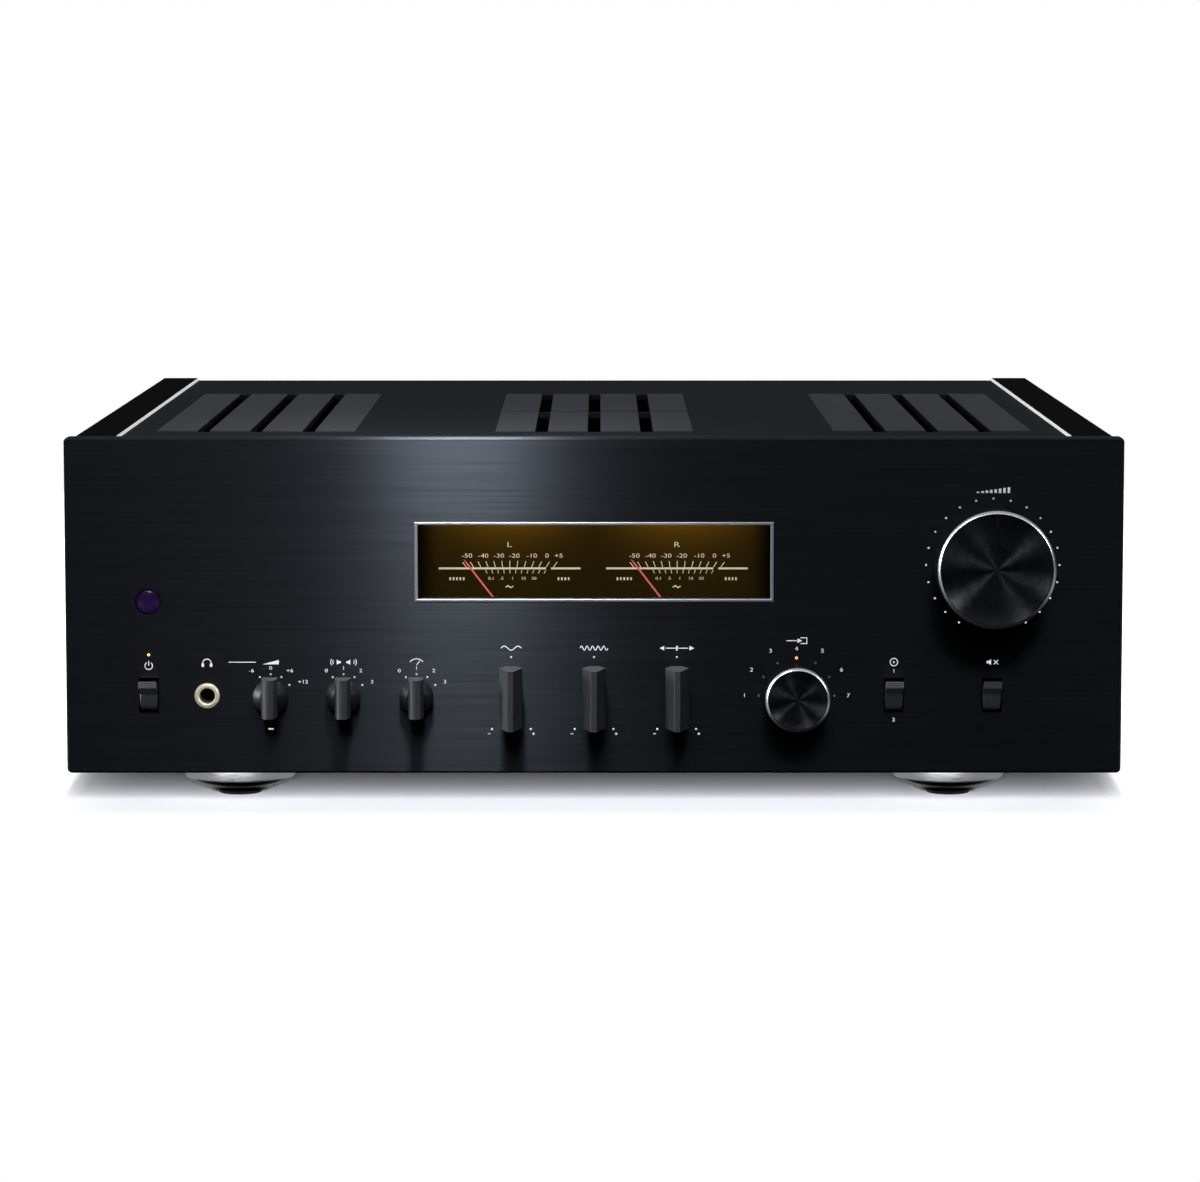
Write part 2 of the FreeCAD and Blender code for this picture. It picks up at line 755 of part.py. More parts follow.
def base_plate():
    """The floor of the case, with bolt holes and rows of air slots under the heat sinks."""
    body = new_body("base_plate", 0, 0, foot_height)
    plate = new_sketch(body, "XY_Plane")
    rectangle(plate, 0, (panel_back + rear_y) / 2, side_inner * 2, rear_y - panel_back)
    pad(body, plate, plate_thick)
    bores = new_sketch(body, "XY_Plane")
    for x, y in foot_places:
        circle(bores, x, y, bolt_radius + loose_fit)
    circle(bores, 0, toroid_y, bolt_radius + loose_fit)
    for x, y in base_screws:
        circle(bores, x, y, screw_radius + loose_fit)
    pocket(body, bores, reverse=True)
    slots = new_sketch(body, "XY_Plane")
    for sign in sides.values():
        for step in range(FLOOR_SLOTS):
            slot_x = (sink_offset + frame_inner) / 2 * sign
            slot_y = front_y + vent_start + vent_length * (step + 1) / (FLOOR_SLOTS + 1)
            rectangle(slots, slot_x, slot_y, floor_slot_length, floor_slot_width)
    pocket(body, slots, reverse=True)
    node("base_plate", body)


def rear_panel():
    """The steel rear plate, pierced for every socket and terminal."""
    body = new_body("rear_panel", 0, rear_y, 0)
    plate = new_sketch(body, "XZ_Plane")
    rectangle(plate, 0, (base_top + cover_bottom) / 2, side_inner * 2, cover_bottom - base_top)
    pad(body, plate, plate_thick)
    bores = new_sketch(body, "XZ_Plane")
    for x, z in phono_sockets:
        circle(bores, x, z, phono_neck_radius + loose_fit)
    for x, z in balanced_sockets:
        circle(bores, x, z, balanced_radius + loose_fit)
    for x in terminals.values():
        circle(bores, x, terminal_z, neck_radius + loose_fit)
    circle(bores, ground_x, balanced_z, ground_stud_radius + loose_fit)
    for x, z in rear_screws:
        circle(bores, x, z, screw_radius + loose_fit)
    pocket(body, bores, reverse=True)
    openings = new_sketch(body, "XZ_Plane")
    rectangle(openings, inlet_x, inlet_z, inlet_cavity_width + inlet_wall * 2 + loose_fit * 2,
              inlet_cavity_height + inlet_wall * 2 + loose_fit * 2)
    pocket(body, openings, reverse=True)
    node("rear_panel", body)


def chassis_frames():
    """Upright steel plates: one inside each side panel, and one on each side of the transformer."""
    plates = []
    tall = cover_bottom - base_top
    for name, sign in sides.items():
        outer_low = frame_inner if sign > 0 else -side_inner
        plates.append(box(f"side_frame_{name}", outer_low, subframe_back, base_top,
                          frame_thick, rear_inner - subframe_back, tall))
        inner_low = partition_offset if sign > 0 else -partition_offset - frame_thick
        start = board_front + board_thick + partition_gap
        plates.append(box(f"partition_{name}", inner_low, start, base_top, frame_thick,
                          input_board_front - partition_gap - start, tall - sink_headroom))
    node("chassis_frames", together("chassis_frames", plates))


def feet():
    """Turned feet: a wide bright disc over a cone, each bolted up into the floor, with a small pad."""
    discs, pads, bolts = [], [], []
    head_top = pad_thick + bolt_recess + bolt_head_height
    rim_top = foot_height - foot_neck_height
    rim_low = rim_top - foot_rim
    hole = bolt_radius + loose_fit
    head_hole = bolt_head_radius + loose_fit
    neck = foot_radius - foot_neck_inset
    disc = [(head_top, hole), (foot_height, hole), (foot_height, neck), (rim_top + foot_bevel, neck),
            (rim_top, foot_radius), (rim_low, foot_radius), (rim_low - foot_bevel, foot_radius - foot_bevel),
            (pad_thick, foot_base_radius), (pad_thick, head_hole), (head_top, head_hole)]
    foot_pad = [(0, 0), (pad_thick, 0), (pad_thick, pad_radius), (close_gap, pad_radius),
                (0, pad_radius - close_gap)]
    for x, y in foot_places:
        discs.append(turned("foot_disc", disc, x, y, 0, axis="z"))
        pads.append(turned("foot_pad", foot_pad, x, y, 0, axis="z"))
        bolts.append(bolt(x, y, head_top, base_top))
    bolts.append(bolt(size(0), toroid_y, foot_height, base_top + toroid_height + plate_thick + bolt_overhang))
    node("foot_discs", together("foot_discs", discs))
    node("foot_pads", together("foot_pads", pads))
    node("large_bolts", together("large_bolts", bolts))


def bolt(x, y, seat_z, end_z):
    """A bolt that points up, with its head below seat_z."""
    head = rod("bolt_head", "z", x, y, seat_z - bolt_head_height, bolt_head_radius, bolt_head_height)
    shank = rod("bolt_shank", "z", x, y, seat_z - OVERLAP, bolt_radius, end_z - seat_z + OVERLAP)
    return fused("bolt", head, shank)


def screws():
    """Pan-head screws in the rear panel and the floor."""
    pieces = []
    for x, z in rear_screws:
        head = rod("screw_head", "y", x, rear_y, z, screw_head_radius, screw_head_height)
        shank = rod("screw_shank", "y", x, rear_y - screw_length, z, screw_radius, screw_length + OVERLAP)
        pieces.append(fused("screw", head, shank))
    for x, y in base_screws:
        head = rod("screw_head", "z", x, y, foot_height - screw_head_height,
                   screw_head_radius, screw_head_height)
        shank = rod("screw_shank", "z", x, y, foot_height - OVERLAP, screw_radius, screw_length + OVERLAP)
        pieces.append(fused("screw", head, shank))
    node("chassis_screws", together("chassis_screws", pieces))


# ---------------------------------------------------------------- meters

def meter_window():
    """The bright frame round the window, and the glass behind it."""
    body = new_body("meter_bezel", 0, front_y + bezel_depth, 0)
    frame = new_sketch(body, "XZ_Plane")
    rectangle(frame, 0, window_z, window_width, window_height)
    rectangle(frame, 0, window_z, window_width - bezel_width * 2, window_height - bezel_width * 2)
    pad(body, frame, bezel_depth + bezel_proud)
    dress(body, "Chamfer", bezel_proud, in_face(-bezel_depth - bezel_proud))
    node("meter_bezel", body)
    node("meter_glass", box("meter_glass", -window_width / 2, front_y + bezel_depth,
                            window_z - window_height / 2, window_width, glass_thick, window_height))


def meter_housing():
    """A box behind the faceplate, with a collar at its front that holds the glass in the faceplate's opening."""
    glass_back = front_y + bezel_depth + glass_thick
    window_low = window_z - window_height / 2
    block = box("housing_block", -housing_half, panel_back, housing_bottom,
                housing_half * 2, housing_depth, housing_top - housing_bottom)
    collar = box("housing_collar", -window_width / 2, glass_back, window_low,
                 window_width, panel_back + ledge_thick - glass_back, window_height)
    hollow = box("housing_hollow", -window_width / 2, panel_back + ledge_thick, housing_bottom + housing_wall,
                 window_width, housing_depth - ledge_thick - housing_wall,
                 housing_top - housing_bottom - housing_wall * 2)
    mouth = box("housing_mouth", bezel_width - window_width / 2, glass_back, window_low + bezel_width,
                window_width - bezel_width * 2, panel_back + ledge_thick + OVERLAP - glass_back,
                window_height - bezel_width * 2)
    node("meter_housing", cut("meter_housing", fused("housing_solid", block, collar),
                              fused("housing_space", hollow, mouth)))


def meter_works():
    """The dial plate, and for each channel a moving-coil unit with its needle."""
    dial_front = panel_back + dial_depth
    dial_low = window_z - window_height / 2 - dial_margin
    dial_top = housing_top - housing_wall - lamp_thick - close_gap
    node("meter_dial", box("meter_dial", -window_width / 2, dial_front, dial_low,
                           window_width, dial_thick, dial_top - dial_low))
    movements = []
    for name, sign in sides.items():
        x = meter_spacing / 2 * sign
        case_y = needle_y + needle_thick + movement_gap
        case = box("movement_case", x - movement_width / 2, case_y, needle_z - movement_height / 2,
                   movement_width, panel_back + housing_depth - housing_wall - case_y, movement_height)
        bore = rod("movement_bore", "y", x, case_y - OVERLAP, needle_z, spindle_radius + running_fit,
                   spindle_reach + OVERLAP + close_gap)
        movements.append(cut("movement", case, bore))
        node(f"needle_{name}", needle(f"needle_{name}", x, case_y))
    node("meter_movements", together("meter_movements", movements))


def needle(name, x, case_y):
    """A needle with its hub and spindle, drawn upright and then leant to its rest at the left."""
    body = new_body(name, x, needle_y + needle_thick, needle_z, Rotation(Vector(0, 1, 0), -NEEDLE_REST))
    blade = new_sketch(body, "XZ_Plane")
    tip = needle_length
    half, point = needle_width / 2, needle_point / 2
    outline(blade, [(-half, -needle_tail), (half, -needle_tail), (half, tip - needle_taper),
                    (point, tip), (-point, tip), (-half, tip - needle_taper)])
    pad(body, blade, needle_thick)
    hub = new_sketch(body, "XZ_Plane")
    circle(hub, 0, 0, hub_radius)
    pad(body, hub, needle_thick * 2)
    spindle = new_sketch(body, "XZ_Plane")
    circle(spindle, 0, 0, spindle_radius)
    pad(body, spindle, case_y - needle_y - needle_thick + spindle_reach, reverse=True)
    weight = new_sketch(body, "XZ_Plane")
    rectangle(weight, 0, weight_length / 2 - needle_tail, weight_width, weight_length)
    pad(body, weight, needle_thick)
    return body


# ---------------------------------------------------------------- controls

def knob(name, x, z, radius, reach, marked):
    """A turned aluminium knob on its shaft, with a bright bevel and a dished face."""
    bore_end = -reach + knob_wall
    face_radius = radius - knob_bevel - knob_band
    points = [(bore_end, 0), (-reach + face_dish, 0), (-reach, face_radius),
              (-reach, radius - knob_bevel), (-reach + knob_bevel, radius), (-knob_gap, radius),
              (-knob_gap, shaft_radius + running_fit), (bore_end, shaft_radius + running_fit)]
    cap = turned(f"{name}_cap", points, x, front_y, z)
    if marked:
        mark = new_sketch(cap, "XZ_Plane", reach)
        rectangle(mark, 0, face_radius - mark_length / 2, mark_width, mark_length)
        pocket(cap, mark, mark_depth)
    return node(name, together(name, [cap, shaft(name, x, z, bore_end)]))


def shaft(name, x, z, bore_end):
    """A control's shaft, from inside its case to the end of the knob's bore."""
    start = front_y + bore_end
    return rod(f"{name}_shaft", "y", x, start, z, shaft_radius, shaft_end - start)


def selector_knob(name, x):
    """A small knob: a round skirt with a ridged bar across it."""
    bore_end = -pointer_reach + pointer_wall
    bar = new_body(f"{name}_bar", x, front_y, row_z - pointer_length / 2)
    half, ridge = pointer_width / 2, pointer_ridge / 2
    root, edge = -knob_gap - skirt_thick / 2, pointer_slope - pointer_reach
    section = new_sketch(bar, "XY_Plane")
    outline(section, [(half, root), (half, edge), (ridge, -pointer_reach),
                      (-ridge, -pointer_reach), (-half, edge), (-half, root)])
    pad(bar, section, pointer_length)
    skirt = rod(f"{name}_skirt", "y", x, front_y - knob_gap - skirt_thick, row_z, skirt_radius, skirt_thick)
    dome = doc.addObject("Part::Cone", f"{name}_dome")
    bind(dome, Radius1=skirt_radius - dome_step, Radius2=skirt_radius, Height=dome_step)
    put(dome, x, front_y - knob_gap - skirt_thick - dome_step, row_z, TURNS["y"])
    bore = rod(f"{name}_bore", "y", x, front_y + bore_end, row_z, shaft_radius + running_fit, -bore_end)
    cap = cut(f"{name}_cap", fused(f"{name}_solid", bar, skirt, dome), bore)
    node(name, together(name, [cap, shaft(name, x, row_z, bore_end)]))


def bar_knob(name, x):
    """A tall ridged bar that turns about its middle."""
    bore_end = -bar_shoulder - bar_wall
    neck, half, ridge = bar_neck / 2, bar_width / 2, bar_ridge / 2
    bar = new_body(f"{name}_bar", x, front_y, row_z - bar_length / 2)
    section = new_sketch(bar, "XY_Plane")
    outline(section, [(neck, -knob_gap), (half, -bar_shoulder), (ridge, -bar_reach),
                      (-ridge, -bar_reach), (-half, -bar_shoulder), (-neck, -knob_gap)])
    pad(bar, section, bar_length)
    boss = rod(f"{name}_boss", "y", x, front_y - bar_shoulder, row_z, shaft_radius + bar_boss_wall,
               bar_shoulder - knob_gap)
    bore = rod(f"{name}_bore", "y", x, front_y + bore_end, row_z, shaft_radius + running_fit, -bore_end)
    cap = cut(f"{name}_cap", fused(f"{name}_solid", bar, boss), bore)
    node(name, together(name, [cap, shaft(name, x, row_z, bore_end)]))


def rotary_units():
    """Potentiometers and rotary switches behind the subframe, each with a bushing through the panel."""
    def unit(name, x, z, radius):
        case = rod(f"{name}_case", "y", x, subframe_back, z, radius, control_depth)
        bushing = rod(f"{name}_bushing", "y", x, front_y + bushing_recess, z, bushing_radius,
                      subframe_back + OVERLAP - front_y - bushing_recess)
        bore = rod(f"{name}_bore", "y", x, front_y, z, shaft_radius + running_fit,
                   shaft_end + close_gap - front_y)
        return cut(f"{name}_unit", fused(f"{name}_body", case, bushing), bore)

    pots = [unit("volume", volume_x, volume_z, volume_case_radius)]
    pots += [unit(name, x, row_z, tone_case_radius) for name, x in tones.items()]
    node("potentiometers", together("potentiometers", pots))
    switches = [unit("input", input_x, row_z, volume_case_radius)]
    switches += [unit(name, x, row_z, switch_case_radius) for name, x in selectors.items()]
    node("rotary_switches", together("rotary_switches", switches))


def toggle_levers():
    """Levers on pins, and the switch bodies whose ears carry the pins."""
    bodies = []
    for name, x in toggles.items():
        lever = new_body(f"{name}_lever", x, pivot_y, row_z, Rotation(Vector(1, 0, 0), -LEVER_TILT))
        drum = new_sketch(lever, "YZ_Plane", -lever_width / 2)
        circle(drum, 0, 0, drum_radius)
        pad(lever, drum, lever_width)
        half, tip = paddle_thick / 2, paddle_tip / 2
        paddle = new_sketch(lever, "YZ_Plane", -lever_width / 2)
        outline(paddle, [(0, -half), (0, half), (-paddle_length, tip), (-paddle_length, -tip)])
        pad(lever, paddle, lever_width)
        pin_half = slot_width / 2 + loose_fit + ear_thick
        pin = new_sketch(lever, "YZ_Plane", -pin_half)
        circle(pin, 0, 0, pin_radius)
        pad(lever, pin, pin_half * 2)
        node(f"{name}_lever", lever)
        bodies.append(switch_body(name, x))
    node("toggle_switches", together("toggle_switches", bodies))


def switch_body(name, x):
    """A block behind the subframe with two ears that reach forward into the panel's milled pocket."""
    width = switch_width()
    ear_front = panel_back - switch_pocket + close_gap
    tall = slot_height + ear_thick / 2
    block = box(f"{name}_block", x - switch_block_width / 2, subframe_back, row_z - switch_block_height / 2,
                switch_block_width, control_depth, switch_block_height)
    ears = box(f"{name}_ears", x - width / 2, ear_front, row_z - tall / 2,
               width, subframe_back + ear_overlap - ear_front, tall)
    room_width = slot_width + loose_fit * 2
    room = rod(f"{name}_room", "x", x - room_width / 2, pivot_y, row_z, drum_radius + drum_clear, room_width)
    front_room = box(f"{name}_front_room", x - room_width / 2, ear_front, row_z - tall / 2,
                     room_width, pivot_y + pin_radius * 2 - ear_front, tall)
    pin_hole = rod(f"{name}_pin_hole", "x", x - width, pivot_y, row_z, pin_radius + running_fit, width * 2)
    shell = fused(f"{name}_shell", block, ears)
    hollow = cut(f"{name}_hollow", shell, fused(f"{name}_space", room, front_room))
    return cut(f"{name}_switch", hollow, pin_hole)


def headphone_socket():
    """A gilt ring on the faceplate whose barrel runs through to the socket's block."""
    ring = rod("jack_ring", "y", jack_x, front_y - ring_proud, row_z, ring_radius, ring_proud)
    barrel = rod("jack_barrel", "y", jack_x, front_y - ring_proud / 2, row_z, barrel_radius,
                 subframe_back - front_y + ring_proud / 2)
    mouth = rod("jack_mouth", "y", jack_x, front_y - ring_proud, row_z, plug_radius,
                subframe_back - front_y + ring_proud)
    node("headphone_jack_ring", cut("headphone_jack_ring", fused("jack_turning", ring, barrel), mouth))
    block = box("jack_block", jack_x - jack_block / 2, subframe_back, row_z - jack_block / 2,
                jack_block, jack_block_depth, jack_block)
    bore = rod("jack_bore", "y", jack_x, subframe_back, row_z, plug_radius, jack_depth)
    node("headphone_jack", cut("headphone_jack", block, bore))


def sensor_and_lamps():
    """The remote control's lens, the light rods of the indicators and the meters' lamps."""
    back = subframe_back - front_y
    lens = [(back, 0), (lens_recess, 0), (lens_recess + lens_crown / 4, sensor_radius / 2),
            (lens_recess + lens_crown, sensor_radius), (back, sensor_radius)]
    node("remote_sensor_lens", turned("remote_sensor_lens", lens, power_x, front_y, sensor_z))
    rods = [rod("light_rod", "y", x, front_y, z, lamp_radius, board_front - front_y) for x, z in lamp_places]
    for sign in sides.values():
        for step in (-1, 1):
            x = meter_spacing / 2 * sign + lamp_offset * step - lamp_length / 2
            rods.append(box("meter_lamp", x, panel_back + ledge_thick + close_gap,
                            housing_top - housing_wall - lamp_thick, lamp_length, lamp_width, lamp_thick))
    node("lamps", together("lamps", rods))


def control_board():
    """The circuit board behind the lower controls, notched round the meter housing and the jack."""
    low = foot_height + board_low
    high = foot_height + board_high
    board = box("board_sheet", board_gap - frame_inner, board_front, low,
                (frame_inner - board_gap) * 2, board_thick, high - low)
    notch = box("board_notch", -housing_half - board_gap, board_front - OVERLAP, housing_bottom - board_gap,
                (housing_half + board_gap) * 2, board_thick + OVERLAP * 2, housing_top - housing_bottom)
    jack_hole = jack_block + board_gap * 2
    jack_notch = box("board_jack_notch", jack_x - jack_hole / 2, board_front - OVERLAP, row_z - jack_hole / 2,
                     jack_hole, board_thick + OVERLAP * 2, jack_hole)
    node("control_board", cut("control_board", board, notch, jack_notch))


# ---------------------------------------------------------------- power supply and output stage

def transformer():
    """A toroidal transformer, with the dished washer that its bolt pulls down."""
    edge = toroid_round
    winding = [(0, toroid_bore + edge), (edge, toroid_bore), (toroid_height - edge, toroid_bore),
               (toroid_height, toroid_bore + edge), (toroid_height, toroid_radius - edge),
               (toroid_height - edge, toroid_radius), (edge, toroid_radius), (0, toroid_radius - edge)]
    ring = turned("transformer_winding", winding, 0, toroid_y, base_top, axis="z")
    hole = bolt_radius + loose_fit
    dish = [(toroid_height, hole), (toroid_height, clamp_radius),
            (toroid_height + plate_thick, clamp_radius), (toroid_height + plate_thick, hole)]
    washer = turned("transformer_washer", dish, 0, toroid_y, base_top, axis="z")
    node("transformer", together("transformer", [ring, washer]))


def supply():
    """The supply board on its standoffs, with four large capacitors standing on it."""
    front = toroid_y + toroid_radius + supply_gap
    back = input_board_front - supply_gap * 2
    half = partition_offset - partition_gap
    board_z = base_top + standoff_length
    node("power_supply_board", box("power_supply_board", -half, front, board_z, half * 2, back - front,
                                   board_thick))
    cans = []
    for step in (-1.5, -0.5, 0.5, 1.5):
        can = [(0, 0), (capacitor_height, 0), (capacitor_height, capacitor_radius - capacitor_round),
               (capacitor_height - capacitor_round, capacitor_radius), (0, capacitor_radius)]
        cans.append(turned("capacitor", can, capacitor_pitch * step, (front + back) / 2,
                           board_z + board_thick, axis="z"))
    node("filter_capacitors", together("filter_capacitors", cans))
    pillars = []
    for sign in sides.values():
        for y in (front + standoff_inset, back - standoff_inset):
            pillars.append(rod("standoff", "z", (half - standoff_inset) * sign, y, base_top,
                               standoff_radius, standoff_length))
    return pillars


def output_stage(pillars):
    """For each channel a finned heat sink, four transistors on its wall and an upright amplifier board."""
    sinks, transistors, boards = [], [], []
    start = front_y + vent_start
    tall = cover_bottom - sink_headroom - base_top
    fin_length = frame_inner - sink_side_gap - sink_offset - sink_base
    fin_count = int((vent_length.value - fin_thick.value) / fin_pitch.value) + 1
    for name, sign in sides.items():
        body = new_body(f"heat_sink_{name}", 0, 0, base_top)
        wall = new_sketch(body, "XY_Plane")
        rectangle(wall, (sink_offset + sink_base / 2) * sign, start + vent_length / 2, sink_base, vent_length)
        pad(body, wall, tall)
        fin = new_sketch(body, "XY_Plane")
        rectangle(fin, (sink_offset + sink_base + (fin_length - OVERLAP) / 2) * sign, start + fin_thick / 2,
                  fin_length + OVERLAP, fin_thick)
        first_fin = pad(body, fin, tall)
        fins = body.newObject("PartDesign::LinearPattern", f"heat_sink_{name}_fins")
        fins.Originals = [first_fin]
        fins.Direction = (fin, ["V_Axis"])
        fins.Occurrences = fin_count
        bind(fins, Length=fin_pitch * (fin_count - 1))
        body.Tip = fins
        doc.recompute()
        sinks.append(body)
        for step in range(4):
            x = sink_offset - transistor_thick if sign > 0 else -sink_offset
            y = start + vent_length * (step + 0.5) / 4 - transistor_width / 2
            transistors.append(box("transistor", x, y, base_top + transistor_rise,
                                   transistor_thick, transistor_width, transistor_height))
        board_x = sink_offset - standoff_length if sign > 0 else standoff_length - sink_offset
        low_x = board_x - board_thick if sign > 0 else board_x
        low_y, high_y = start + amplifier_board_margin, start + vent_length - amplifier_board_margin
        low_z, high_z = base_top + amplifier_board_margin, base_top + tall - amplifier_board_margin
        boards.append(box(f"amplifier_board_{name}", low_x, low_y, low_z,
                          board_thick, high_y - low_y, high_z - low_z))
        for y in (low_y + standoff_inset, high_y - standoff_inset):
            for z in (low_z + standoff_inset, high_z - standoff_inset):
                pillar_x = board_x if sign > 0 else -sink_offset
                pillars.append(rod("standoff", "x", pillar_x, y, z, standoff_radius, standoff_length))
    node("heat_sinks", together("heat_sinks", sinks))
    node("output_transistors", together("output_transistors", transistors))
    node("amplifier_boards", together("amplifier_boards", boards))
    node("board_standoffs", together("board_standoffs", pillars))


# ---------------------------------------------------------------- rear

def line_sockets():
    """Phono sockets in two rows, balanced sockets beside them, and the board that they are soldered to."""
    jacks = []
    shell_end = socket_flange + phono_shell_length
    tail_hole = phono_tail_radius + running_fit
    collar = [(-plate_thick, tail_hole), (socket_flange, tail_hole), (socket_flange, socket_flange_radius),
              (0, socket_flange_radius), (0, phono_neck_radius), (-plate_thick, phono_neck_radius)]
    shell = [(-plate_thick, phono_bore_radius), (shell_end, phono_bore_radius),
             (shell_end, phono_shell_radius), (socket_flange, phono_shell_radius),
             (socket_flange, phono_tail_radius), (-plate_thick, phono_tail_radius)]
    for x, z in phono_sockets:
        jacks.append(box("phono_block", x - socket_block_width / 2, rear_inner - socket_block,
                         z - socket_block_width / 2, socket_block_width, socket_block, socket_block_width))
        jacks.append(turned("phono_collar", collar, x, rear_y, z))
        jacks.append(turned("phono_shell", shell, x, rear_y, z))
    node("phono_sockets", together("phono_sockets", jacks))
    balanced = []
    for x, z in balanced_sockets:
        flange = box("balanced_flange", x - balanced_flange_width / 2, rear_y, z - balanced_flange_height / 2,
                     balanced_flange_width, balanced_flange, balanced_flange_height)
        barrel = rod("balanced_barrel", "y", x, rear_inner - socket_block, z, balanced_radius,
                     socket_block + plate_thick + balanced_flange)
        floor_y = rear_y + balanced_flange - groove_depth
        outer = balanced_radius - balanced_wall
        groove_outer = rod("groove_outer", "y", x, floor_y, z, outer, groove_depth)
        groove_inner = rod("groove_inner", "y", x, floor_y, z, outer - groove_width, groove_depth)
        tools = [cut("balanced_groove", groove_outer, groove_inner)]
        for turn in (90, 210, 330):
            contact_x = x + contact_circle * math.cos(math.radians(turn))
            contact_z = z + contact_circle * math.sin(math.radians(turn))
            tools.append(rod("balanced_contact", "y", contact_x, floor_y, contact_z,
                             contact_radius, groove_depth))
        balanced.append(cut("balanced_socket", fused("balanced_solid", flange, barrel), *tools))
    node("balanced_sockets", together("balanced_sockets", balanced))
    left = balanced_sockets[-1][0] - balanced_radius - input_board_margin
    right = phono_sockets[0][0] + socket_block_width / 2 + input_board_margin
    low = socket_z_low - socket_block_width / 2 - input_board_margin
    high = socket_z_high + socket_block_width / 2 + input_board_margin
    board = box("input_board", left, input_board_front, low, right - left, board_thick, high - low)
    node("input_board", board)


def speaker_terminals():
    """Binding posts: an insulator in the panel, a stud with a 4 mm plug bore, and a cap that screws on it."""
    studs, insulators = [], []
    bore = stud_radius + running_fit
    tip = terminal_reach - stud_recess
    washer_back = -plate_thick - washer_thick
    insulator = [(washer_back, bore), (insulator_thick, bore),
                 (insulator_thick, insulator_radius - insulator_bevel),
                 (insulator_thick - insulator_bevel, insulator_radius), (0, insulator_radius),
                 (0, neck_radius), (-plate_thick, neck_radius), (-plate_thick, washer_radius),
                 (washer_back, washer_radius)]
    stud = [(-stud_tail, 0), (tip - banana_depth, 0), (tip - banana_depth, banana_radius),
            (tip, banana_radius), (tip, stud_radius), (washer_back, stud_radius),
            (washer_back, stud_nut_radius), (washer_back - stud_nut, stud_nut_radius),
            (washer_back - stud_nut, stud_radius), (-stud_tail, stud_radius)]
    cap_bore = stud_radius + loose_fit
    start = insulator_thick + close_gap
    waist = cap_radius - cap_waist
    grip = start + cap_waist_length + cap_bevel
    cap = [(start, cap_bore), (start, waist), (grip - cap_bevel, waist), (grip, cap_radius),
           (terminal_reach - cap_bevel, cap_radius), (terminal_reach, cap_radius - cap_bevel),
           (terminal_reach, cap_bore)]
    for name, x in terminals.items():
        insulators.append(turned("insulator", insulator, x, rear_y, terminal_z))
        studs.append(turned("stud", stud, x, rear_y, terminal_z))
        node(f"terminal_cap_{name}", turned(f"terminal_cap_{name}", cap, x, rear_y, terminal_z))
    ground_tip = ground_nut_length + ground_overhang
    flange_radius = ground_nut_radius - ground_nut_waist
    ground = [(-ground_tail, 0), (ground_tip, 0), (ground_tip, ground_stud_radius),
              (-plate_thick, ground_stud_radius), (-plate_thick, flange_radius),
              (-plate_thick - stud_nut, flange_radius), (-plate_thick - stud_nut, ground_stud_radius),
              (-ground_tail, ground_stud_radius)]
    studs.append(turned("ground_stud", ground, ground_x, rear_y, balanced_z))
    nut_bore = ground_stud_radius + loose_fit
    nut = [(close_gap, nut_bore), (close_gap, flange_radius),
           (close_gap + ground_nut_waist, ground_nut_radius),
           (ground_nut_length, ground_nut_radius), (ground_nut_length, nut_bore)]
    node("ground_nut", turned("ground_nut", nut, ground_x, rear_y, balanced_z))
    node("terminal_studs", together("terminal_studs", studs))
    node("terminal_insulators", together("terminal_insulators", insulators))


def mains_inlet():
    """A three-pin mains inlet: a flanged plastic shell with three flat blades in its recess."""
    width = inlet_cavity_width + inlet_wall * 2
    height = inlet_cavity_height + inlet_wall * 2
    cavity_end = rear_y + inlet_flange - inlet_cavity_depth
    flange = box("inlet_flange_plate", inlet_x - width / 2 - inlet_lip, rear_y,
                 inlet_z - height / 2 - inlet_lip,
                 width + inlet_lip * 2, inlet_flange, height + inlet_lip * 2)
    shell_front = cavity_end - inlet_wall
    shell = box("inlet_shell", inlet_x - width / 2, shell_front, inlet_z - height / 2,
                width, rear_y + OVERLAP - shell_front, height)
    cavity = box("inlet_cavity", inlet_x - inlet_cavity_width / 2, cavity_end,
                 inlet_z - inlet_cavity_height / 2, inlet_cavity_width, inlet_cavity_depth,
                 inlet_cavity_height)
    pieces = [cut("inlet_body", fused("inlet_solid", flange, shell), cavity)]
    for step, raised in ((-1, 0), (0, 1), (1, 0)):
        pieces.append(box("inlet_blade", inlet_x + blade_pitch * step - blade_thick / 2, cavity_end,
                          inlet_z - blade_height / 2 + blade_rise * (raised - 0.4),
                          blade_thick, blade_length, blade_height))
    node("mains_inlet", together("mains_inlet", pieces))


# ---------------------------------------------------------------- assembly

front_panel()
front_subframe()
side_panels()
top_cover()
base_plate()
rear_panel()
chassis_frames()
feet()
screws()
meter_window()
meter_housing()
meter_works()
knob("volume_knob", volume_x, volume_z, volume_radius, knob_reach, marked=True)
knob("input_knob", input_x, row_z, input_radius, input_reach, marked=False)
for selector_name, selector_x in selectors.items():
    selector_knob(f"{selector_name}_knob", selector_x)
for tone_name, tone_x in tones.items():
    bar_knob(f"{tone_name}_knob", tone_x)
rotary_units()
toggle_levers()
headphone_socket()
sensor_and_lamps()
control_board()
transformer()
output_stage(supply())
line_sockets()
speaker_terminals()
mains_inlet()
doc.recompute()

for made in doc.Objects:
    if "Invalid" in made.State or "Error" in made.State:
        raise ValueError(f"{made.Name} failed: {made.State}")
for label, piece in nodes.items():
    if piece.Shape.isNull() or not piece.Shape.isValid() or not piece.Shape.Solids:
        raise ValueError(f"{label} has no valid shape")

os.makedirs("parts", exist_ok=True)
for label, piece in nodes.items():
    piece.Shape.exportStep(f"parts/{label}.step")
print(f"{len(nodes)} nodes, {sum(len(piece.Shape.Solids) for piece in nodes.values())} solids")
